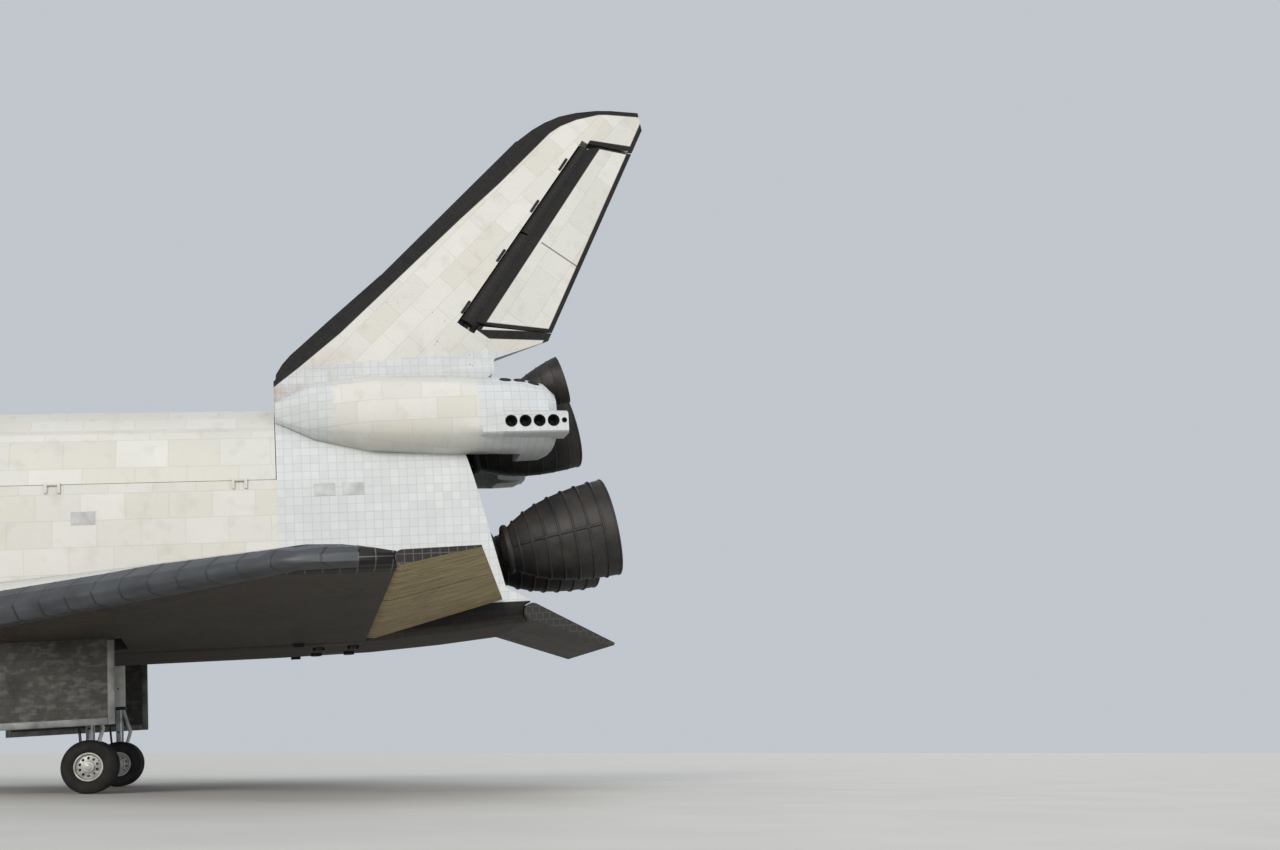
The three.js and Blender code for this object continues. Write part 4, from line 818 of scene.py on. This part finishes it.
def bellRadius(z):
    rows = engineSettings["bell"]
    for (z0, r0), (z1, r1) in zip(rows, rows[1:]):
        if z <= z1:
            return r0 + (r1 - r0) * (z - z0) / (z1 - z0)
    return rows[-1][1]


def engineMatrix(place, pitchDeg, yawDeg):
    aim = Matrix.Rotation(math.radians(yawDeg), 4, "Z") @ Matrix.Rotation(-math.radians(pitchDeg), 4, "Y")
    return bodyMatrix @ Matrix.Translation(place) @ aim @ axisToX


def makeFeeds():  # tubes that run down the bell
    feeds = engineSettings["feeds"]
    tubes = []
    for k in range(feeds["count"]):
        turn = math.radians(360 / feeds["count"] * k + feeds["firstDeg"])
        points = []
        for z in feeds["steps"]:
            radius = bellRadius(z) - feeds["sunk"]
            points.append((radius * math.cos(turn), radius * math.sin(turn), z))
        tubes += [tubeBetween(start, end, feeds["thick"]) for start, end in zip(points, points[1:])]
    return tubes


def makeEngine(bandRise):
    look = engineSettings
    outside, sides, radius, half = look["bell"], look["sides"], look["domeRadius"], look["lugHalf"]
    inside = [(z, r - look["wall"]) for z, r in reversed(outside[1:])]
    bell = turnedShape([(1.16, 0.02), *outside, *inside, *look["throat"]], sides)
    bands = [ringAt(z, bellRadius(z) + bandRise, look["bandThick"], sides) for z in look["bands"]]
    dome = [(radius * math.cos(math.radians(d)), radius * math.sin(math.radians(d))) for d in look["domeDegs"]]
    shield = turnedShape([look["domeFoot"], *dome, *look["domeBack"], look["domeFoot"]], 64)
    rings = [ringAt(*look[key], sides) for key in ("lip", "manifold")]
    lugs = [boxBetween((low, -half, -half), (high, half, look["lugLong"])) for low, high in look["lugs"]]
    return joinPieces([bell, shield, *rings, *bands, *makeFeeds(), *lugs])


for number, place, pitchDeg, yawDeg, bandRise in engines:
    engine = settle(makeEngine(bandRise), engineMatrix(place, pitchDeg, yawDeg))
    node = "main_engine_" + number
    finished("engineBell" + number, [engine], "bell", node, replaced=node)
print("main engines modelled")


# orbital nozzles

nozzleSettings = {
    "place": (32.588, 2.235, 5.715), "pitchDeg": 15.8, "yawDeg": 6.5, "sides": 56, "wall": 0.02,
    "start": [(0.446, 0.02), (0.446, 0.268)],
    "bell": [(0.47, 0.275), (0.58, 0.33), (0.7, 0.374), (0.85, 0.425), (1.0, 0.468), (1.14, 0.506), (1.28, 0.538),
             (1.41, 0.565), (1.53, 0.582)],
    "end": [(0.5, 0.13), (0.49, 0.02)],
    "bands": [(0.72, 0.383), (1.0, 0.47), (1.28, 0.54), (1.518, 0.57)],
    "bandThick": 0.012,
}


def makeNozzle():
    look = nozzleSettings
    inside = [(z, r - look["wall"]) for z, r in reversed(look["bell"])]
    bell = turnedShape([*look["start"], *look["bell"], *inside, *look["end"]], look["sides"])
    bands = [ringAt(z, r, look["bandThick"], look["sides"]) for z, r in look["bands"]]
    return joinPieces([bell, *bands])


for side, sign in bothSides:
    x, y, z = nozzleSettings["place"]
    aim = engineMatrix((x, sign * y, z), nozzleSettings["pitchDeg"], sign * nozzleSettings["yawDeg"])
    nozzle = settle(makeNozzle(), aim)
    finished("orbitalNozzle_" + side, [nozzle], "dark", "root", replaced="oms_nozzle_" + side)
print("orbital nozzles modelled")


# wheels

# node prefix, body, middle, spread, tyre radius, half width, rim radius, shaft radius
wheelRows = [
    *((f"main_{side}", f"main_wheels_{side}", (23.2, sign * 3.455, -2.415), 0.355, 0.5600, 0.203, 0.300, 0.07)
      for side, sign in bothSides),
    ("nose", "nose_wheels", (3.607, 0.0, -1.3416), 0.262, 0.4008, 0.112, 0.205, 0.045),
]
# sections as shares of the half width and of the height or radius
tyreSettings = {
    "wall": [(0.78, 0.0), (0.93, 0.14), (1.0, 0.4), (0.97, 0.62), (0.87, 0.82), (0.72, 0.94), (0.58, 0.985)],
    "grooves": (-0.42, -0.14, 0.14, 0.42), "grooveDeep": 0.012, "fit": 0.0006,
}
rimSettings = {
    "section": [(0.1, 0.84), (-0.78, 0.9), (-0.78, 0.985), (-0.7, 1.0), (0.7, 1.0), (0.78, 0.985), (0.78, 0.9),
                (0.42, 0.86), (0.36, 0.8), (0.46, 0.42), (0.72, 0.38), (0.74, 0.3)],
    "cap": [(0.7, 0.26), (0.86, 0.25), (0.9, 0.2)],
    "holes": 10, "holeRing": 0.61, "holeSize": 0.1, "nutRing": 0.8, "nutSize": 0.045,
}


def makeTyre(radius, half, rim):
    inner = rim + tyreSettings["fit"]
    rows = [(-half * wide, inner + (radius - inner) * rise) for wide, rise in tyreSettings["wall"]]
    groove = radius - tyreSettings["grooveDeep"]
    tread = []
    for k in tyreSettings["grooves"]:
        tread += [(half * (k - 0.045), radius), (half * (k - 0.03), groove),
                  (half * (k + 0.03), groove), (half * (k + 0.045), radius)]
    back = [(-z, r) for z, r in reversed(rows)]
    return turnedShape([*rows, *tread, *back, rows[0]], 80)


def ringOfTubes(rim, ring, first, low, high, size, sides):
    tubes = []
    for k in range(rimSettings["holes"]):
        turn = 2 * math.pi * (k + first) / rimSettings["holes"]
        place = (rim * ring * math.cos(turn), rim * ring * math.sin(turn))
        tubes.append(tubeBetween((*place, low), (*place, high), rim * size, sides))
    return tubes


def makeRim(half, rim):
    look = rimSettings
    rows = [(half * wide, rim * high) for wide, high in look["section"]]
    plate = turnedShape([(rows[0][0], 0.02), *rows, (rows[-1][0], 0.02)], 80)
    bpy.ops.object.mode_set(mode="EDIT")
    bpy.ops.mesh.select_all(action="DESELECT")
    bpy.ops.mesh.select_non_manifold()
    bpy.ops.mesh.edge_face_add()
    bpy.ops.mesh.select_all(action="SELECT")
    bpy.ops.mesh.normals_make_consistent(inside=False)
    endEdit()
    cutter = joinPieces(ringOfTubes(rim, look["holeRing"], 0.5, -half, half, look["holeSize"], 20))
    activate(plate)
    modifier = plate.modifiers.new("holes", "BOOLEAN")
    modifier.object = cutter
    modifier.operation = "DIFFERENCE"
    bpy.ops.object.modifier_apply(modifier="holes")
    bpy.data.objects.remove(cutter)
    nuts = ringOfTubes(rim, look["nutRing"], 0, half * 0.3, half * 0.52, look["nutSize"], 6)
    capRows = [(half * wide, rim * high) for wide, high in look["cap"]]
    cap = turnedShape([*capRows, (capRows[-1][0], 0.01)], 32)
    return joinPieces([plate, cap, *nuts])


for prefix, body, middle, spread, radius, half, rim, shaft in wheelRows:
    place = bodyMatrix @ Matrix.Translation(middle)
    rims = []
    for side, sign in (("port", -1), ("starboard", 1)):
        out = place @ Matrix.Translation((0, sign * spread, 0))
        tyre = settle(makeTyre(radius, half, rim), out @ axisToY)
        finished(f"{prefix}Tyre_{side}", [tyre], "tyre", body, 40, f"{prefix}_tyre_{side}")
        turn = axisToY if sign > 0 else Matrix.Rotation(math.pi, 4, "Z") @ axisToY
        rims.append(settle(makeRim(half, rim), out @ turn))
    axle = settle(tubeBetween((0, 0, -spread), (0, 0, spread), shaft, 32), place @ axisToY)
    finished(prefix + "WheelPair", [*rims, axle], "rim", body, 30, f"{prefix}_wheels")
print("wheels modelled")


# seals of the leading edges, and between the panels of the payload doors

doorSettings = {"seams": [12.5, 16.2, 19.85, 23.55], "z": 4, "half": 0.03, "rise": 0.006}


def makeEdgeSeals(side, sign):
    look = edgeSettings
    cuts = []
    run = look["first"]
    while run < look["last"]:
        y = (run - look["apexX"] * slant) / (2 * slant)
        cuts.append(((look["apexX"] + y, sign * y, look["z"]), (1, sign, 0), look["sealHalf"]))
        run += look["panel"]
    seals = slicesOf("wing_edge_" + side, cuts, look["sealRise"])
    finished("edgeSeals_" + side, seals, "edge", "root", 40)


def makeDoorSeams(side):
    cuts = [((x, 0, doorSettings["z"]), (1, 0, 0), doorSettings["half"]) for x in doorSettings["seams"]]
    seams = slicesOf("payload_door_" + side, cuts, doorSettings["rise"])
    finished("doorSeams_" + side, seams, "doors", nodes["payload_door_" + side]["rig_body"], 40)


for side, sign in bothSides:
    makeEdgeSeals(side, sign)
    makeDoorSeams(side)
print("edge seals and payload door seams made")


# small thrusters, in their holes or flush with the skin

thrusterSettings = {
    "wall": 0.012,
    # middle of the housing's face, place of a nozzle along x, radius, depth
    "face": (3.807, 4.86),
    "aft": [*((32.537 + 0.33 * k, 0.138, 0.27) for k in range(4)), (33.782, 0.06, 0.1)],
    "flushRadius": 0.12,
    # places of flush nozzles along x, and to the side or up
    "podTop": [(32.537, 3.2), (32.868, 3.2), (33.198, 3.2)],
    "noseTop": [(1.75, 0.42), (2.15, 0.42), (2.55, 0.42)],
    "noseSide": [(2.0, 2.72), (2.42, 2.72), (2.84, 2.9)],
}


def makeThruster(radius, depth):  # a cup that opens along z, its rim at the origin
    wall = thrusterSettings["wall"]
    rows = [(-depth, 0.01), (-depth, radius * 0.45), (-depth * 0.5, radius * 0.8), (0.0, radius),
            (0.006, radius), (0.006, radius - wall), (-depth * 0.5, radius * 0.8 - wall),
            (-depth + wall, radius * 0.4), (-depth + wall, 0.01)]
    return turnedShape(rows, 28)


def flushThruster(node, start, direction):  # a dark shallow dish with a rim, for a skin without a hole
    radius = thrusterSettings["flushRadius"]
    rows = [(0.0, radius * 1.2), (0.014, radius * 1.15), (0.014, radius), (0.005, radius * 0.9), (0.004, 0.01)]
    return onSkin(turnedShape(rows, 28), node, start, direction)


for side, sign in bothSides:
    look = thrusterSettings
    outward = (bodyTurn @ Vector((0, sign, 0))).to_track_quat("Z", "Y").to_matrix().to_4x4()
    cups = []
    for x, radius, depth in look["aft"]:
        at = Matrix.Translation(bodyMatrix @ Vector((x, sign * look["face"][0], look["face"][1])))
        cups.append(settle(makeThruster(radius, depth), at @ outward))
    finished("sideThrusters_" + side, cups, "black", "root")
    nose = "forward_thruster_module"
    dishes = [flushThruster("oms_pod_" + side, (x, sign * y, 8), down) for x, y in look["podTop"]]
    dishes += [flushThruster(nose, (x, sign * y, 8), down) for x, y in look["noseTop"]]
    dishes += [flushThruster(nose, (x, sign * 6, z), (0, -sign, 0)) for x, z in look["noseSide"]]
    finished("flushThrusters_" + side, dishes, "black", "root")
print("thrusters made")


# lumps along the rudder hinge, on both sides of the fin's edge

lumpSettings = {"heights": [8.52, 9.9, 11.25, 12.41], "offset": -0.345, "offsetSlope": 0.008, "half": (0.2, 0.034),
                "thick": 0.034, "along": (0.571, 0, 0.821)}


def skinPlate(half, thick, bevel=0.01):  # a flat plate that lies on the skin and is let into it a little
    return boxBetween((-half[0], -half[1], -0.03), (half[0], half[1], thick), bevel)


for side, sign in bothSides:
    look = lumpSettings
    lumps = []
    for z in look["heights"]:
        ahead = look["offset"] + look["offsetSlope"] * z
        hingeX = finShape["hingeX"] + (z - finShape["hingeZ"]) * finShape["hingeSlope"]
        start = (hingeX + ahead / finShape["hingeShare"], sign * 3, z)
        lump = skinPlate(look["half"], look["thick"], 0.02)
        lumps.append(onSkin(lump, "fin", start, (0, -sign, 0), look["along"]))
    finished("hingeLumps_" + side, lumps, "shaft", "root")
print("hinge lumps made")


# vent doors, star tracker doors and the panels over the elevon hinge

# solid, start of a line to the left skin, its direction, half size, finish, slot
plateRows = [
    *(("mid_fuselage", (x, -6, 3.05), inward, (0.26, 0.15), "vent", "blanket") for x in (10.4, 14.6, 18.8, 23.0)),
    *(("aft_fuselage", (x, -6, 3.55), inward, (0.24, 0.15), "vent", "white_tile") for x in (28.3, 28.95)),
    ("forward_fuselage", (3.9, -6, 2.2), inward, (0.2, 0.12), "vent", "white_tile"),
    ("forward_fuselage", (4.45, -0.75, 8), down, (0.2, 0.16), "shaft", "black_tile"),
    ("forward_fuselage", (3.75, -0.85, 8), down, (0.2, 0.16), "shaft", "black_tile"),
]
plateThick = 0.012
hingePanels = {"x": 28.78, "from": 3.55, "to": 11.05, "count": 11, "half": (0.28, 0.315), "thick": 0.01}


def mirrored(point, sign):
    return (point[0], sign * point[1], point[2])


for side, sign in bothSides:
    for index, (solid, start, direction, half, finish, slot) in enumerate(plateRows):
        piece = onSkin(skinPlate(half, plateThick), solid, mirrored(start, -sign), mirrored(direction, -sign))
        finished(f"skinPlate_{side}_{index}", [piece], finish, "root", 30)
    look = hingePanels
    panels = []
    for k in range(look["count"]):
        y = look["from"] + (look["to"] - look["from"]) * k / (look["count"] - 1)
        panel = skinPlate(look["half"], look["thick"])
        panels.append(onSkin(panel, "wing_" + side, (look["x"], sign * y, 5), down))
    finished("hingePanels_" + side, panels, "rub", "root", 30)
print("skin plates made")


# window and rim of the crew hatch

hatchSettings = {"x": 7.2, "z": 2.7, "glass": 0.13, "rim": 0.19, "sunk": -0.02, "proud": 0.012}
glass, rim, sunk, proud = (hatchSettings[key] for key in ("glass", "rim", "sunk", "proud"))
hatchFrame = frameOn(*skinPoint("side_hatch", (hatchSettings["x"], -6, hatchSettings["z"]), inward))
rimRows = [(sunk, rim), (proud, rim - 0.01), (proud, glass), (sunk, glass), (sunk, rim)]
glassRows = [(sunk, 0.01), (sunk, glass), (0.004, glass), (0.008, 0.01)]
hatchPieces = [("hatchRim", rimRows, "shaft", "black_tile"), ("hatchPane", glassRows, "glass", "glass")]
for name, rows, finish, slot in hatchPieces:
    piece = settle(turnedShape(rows, 40), hatchFrame)
    finished(name, [piece], finish, nodes["side_hatch"]["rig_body"])
print("hatch window made")


# panes of the flight deck's windows

# middle of the opening, out of the skin, along the hull, half size; the port side is mirrored
paneRows = [
    ((5.24, 0.4369, 4.9169), (-0.664, 0.159, 0.7306), (0.7425, 0.0248, 0.6694), (0.405, 0.325)),
    ((5.4, 1.2611, 4.6496), (-0.4709, 0.5283, 0.7065), (0.854, 0.0724, 0.5152), (0.405, 0.355)),
    ((5.72, 1.889, 4.1848), (-0.371, 0.7792, 0.5053), (0.8737, 0.1085, 0.4742), (0.39, 0.32)),
]
paneSettings = {"deep": 0.13, "thick": 0.02, "bevel": 0.004}
for side, sign in bothSides:
    deep = paneSettings["deep"]
    panes = []
    for middle, out, along, half in paneRows:
        middle, out, along = (Vector(mirrored(vector, sign)) for vector in (middle, out, along))
        pane = boxBetween((-half[0], -half[1], -deep), (half[0], half[1], paneSettings["thick"] - deep),
                          paneSettings["bevel"])
        panes.append(settle(pane, frameOn(bodyMatrix @ middle, bodyTurn @ out, along)))
    finished("windowPanes_" + side, panes, "glass", "root", 30)
print("window panes made")


# frames and rods of the main gear doors, and the struts' own detail

doorEdge = {"x0": 20.3, "x1": 23.8, "out": 4.67, "inside": 4.59, "bottom": -1.56, "wide": 0.13, "proud": 0.012,
            "apart": 0.004, "into": 0.03}
# the rods between the doors and the wells: places along x, then y and z of the ends, half width of the foot
doorRods = {"x": (21.2, 22.9), "door": (4.58, -0.35), "well": (4.1, 0.55), "thick": 0.03, "foot": 0.06,
            "footY": (4.5, 4.62), "footZ": (-0.45, -0.25)}
strut = {"x": 23.2, "y": 3.455, "axle": -2.415, "piston": 0.0935, "pistonZ": (0.17, 1.38), "collar": 0.17,
         "collarZ": (1.36, 1.44)}
# each hose: distances ahead of the strut and above the axle, and how far it spreads
hoses = {"points": [(0.17, 1.4, 1.0), (0.24, 0.95, 1.2), (0.2, 0.5, 1.3), (0.13, 0.12, 1.2)],
         "offsets": (-0.11, 0.11), "thick": 0.014, "clamps": (0.8, 1.9, 2.5), "clampHalf": 0.18, "clampThick": 0.022}


def doorFrame(side, sign):
    look = doorEdge
    wide, proud, apart, x0, x1 = (look[key] for key in ("wide", "proud", "apart", "x0", "x1"))
    y0, y1 = sorted((sign * (look["out"] + proud), sign * (look["inside"] - proud)))
    bottom = look["bottom"] - proud
    tops = []
    for x in (x0 + 0.06, x1 - 0.06):
        place, _ = skinPoint("wing_" + side, (x, sign * 4.63, -4), (0, 0, 1))
        tops.append((bodyMatrix.inverted() @ place).z - look["into"])
    strips = [
        boxBetween((x1 - wide, y0, bottom), (x1 + proud, y1, tops[1])),
        boxBetween((x0 - proud, y0, bottom), (x0 + wide, y1, tops[0])),
        boxBetween((x0 + wide + apart, y0, bottom), (x1 - wide - apart, y1, look["bottom"] + wide)),
    ]
    look = doorRods
    low, high = sorted(sign * y for y in look["footY"])
    for x in look["x"]:
        ends = ((x, sign * y, z) for y, z in (look["door"], look["well"]))
        strips.append(tubeBetween(*ends, look["thick"]))
        foot, (bottom, top) = look["foot"], look["footZ"]
        strips.append(boxBetween((x - foot, low, bottom), (x + foot, high, top)))
    return strips


def strutHoses(x, y, axle):
    collar, (low, high) = strut["collar"], strut["collarZ"]
    pieces = [boxBetween((x - collar, y - collar, axle + low), (x + collar, y + collar, axle + high), 0.03)]
    for offset in hoses["offsets"]:
        points = [(x - ahead, y + offset * spread, axle + up) for ahead, up, spread in hoses["points"]]
        pieces += [tubeBetween(start, end, hoses["thick"]) for start, end in zip(points, points[1:])]
    for up in hoses["clamps"]:
        ends = ((x - 0.02, y + end * hoses["clampHalf"], axle + up) for end in (-1, 1))
        pieces.append(tubeBetween(*ends, hoses["clampThick"]))
    return pieces


for side, sign in bothSides:
    x, y, axle = strut["x"], sign * strut["y"], strut["axle"]
    low, high = strut["pistonZ"]
    piston = tubeBetween((x, y, axle + low), (x, y, axle + high), strut["piston"], 32)
    gearRows = [("gearDoorFrame_", doorFrame(side, sign), "doorEdge", "steel", 30),
                ("gearPiston_", [piston], "steel", "steel", 35),
                ("gearHoses_", strutHoses(x, y, axle), "dark", "gear", 30)]
    for name, pieces, finish, slot, angleDeg in gearRows:
        finished(name + side, [settle(joinPieces(pieces), bodyMatrix)], finish, "root", angleDeg)
print("gear details made")


# skins of the solids, shaded as curves; a start of a name stands for all the nodes that begin so

skinSlots = {
    "white_tile": ("forward_fuselage", "forward_thruster_module", "mid_fuselage", "aft_fuselage"),
    "blanket": ("payload_door", "fin", "rudder_panel", "oms_pod"),
    "black_tile": ("wing_left", "wing_right", "body_flap", "rudder_shaft"),
    "carbon_edge": ("nose_cap", "wing_edge"),
    "scorched_tile": ("elevon",),
    "gear": ("main_gear_leg", "nose_gear_leg", "nose_gear_fork"),
}
for slot, starts in skinSlots.items():
    for start in starts:
        for node in [name for name in nodes if name.startswith(start)]:
            softened(node)
print("skins shaded")
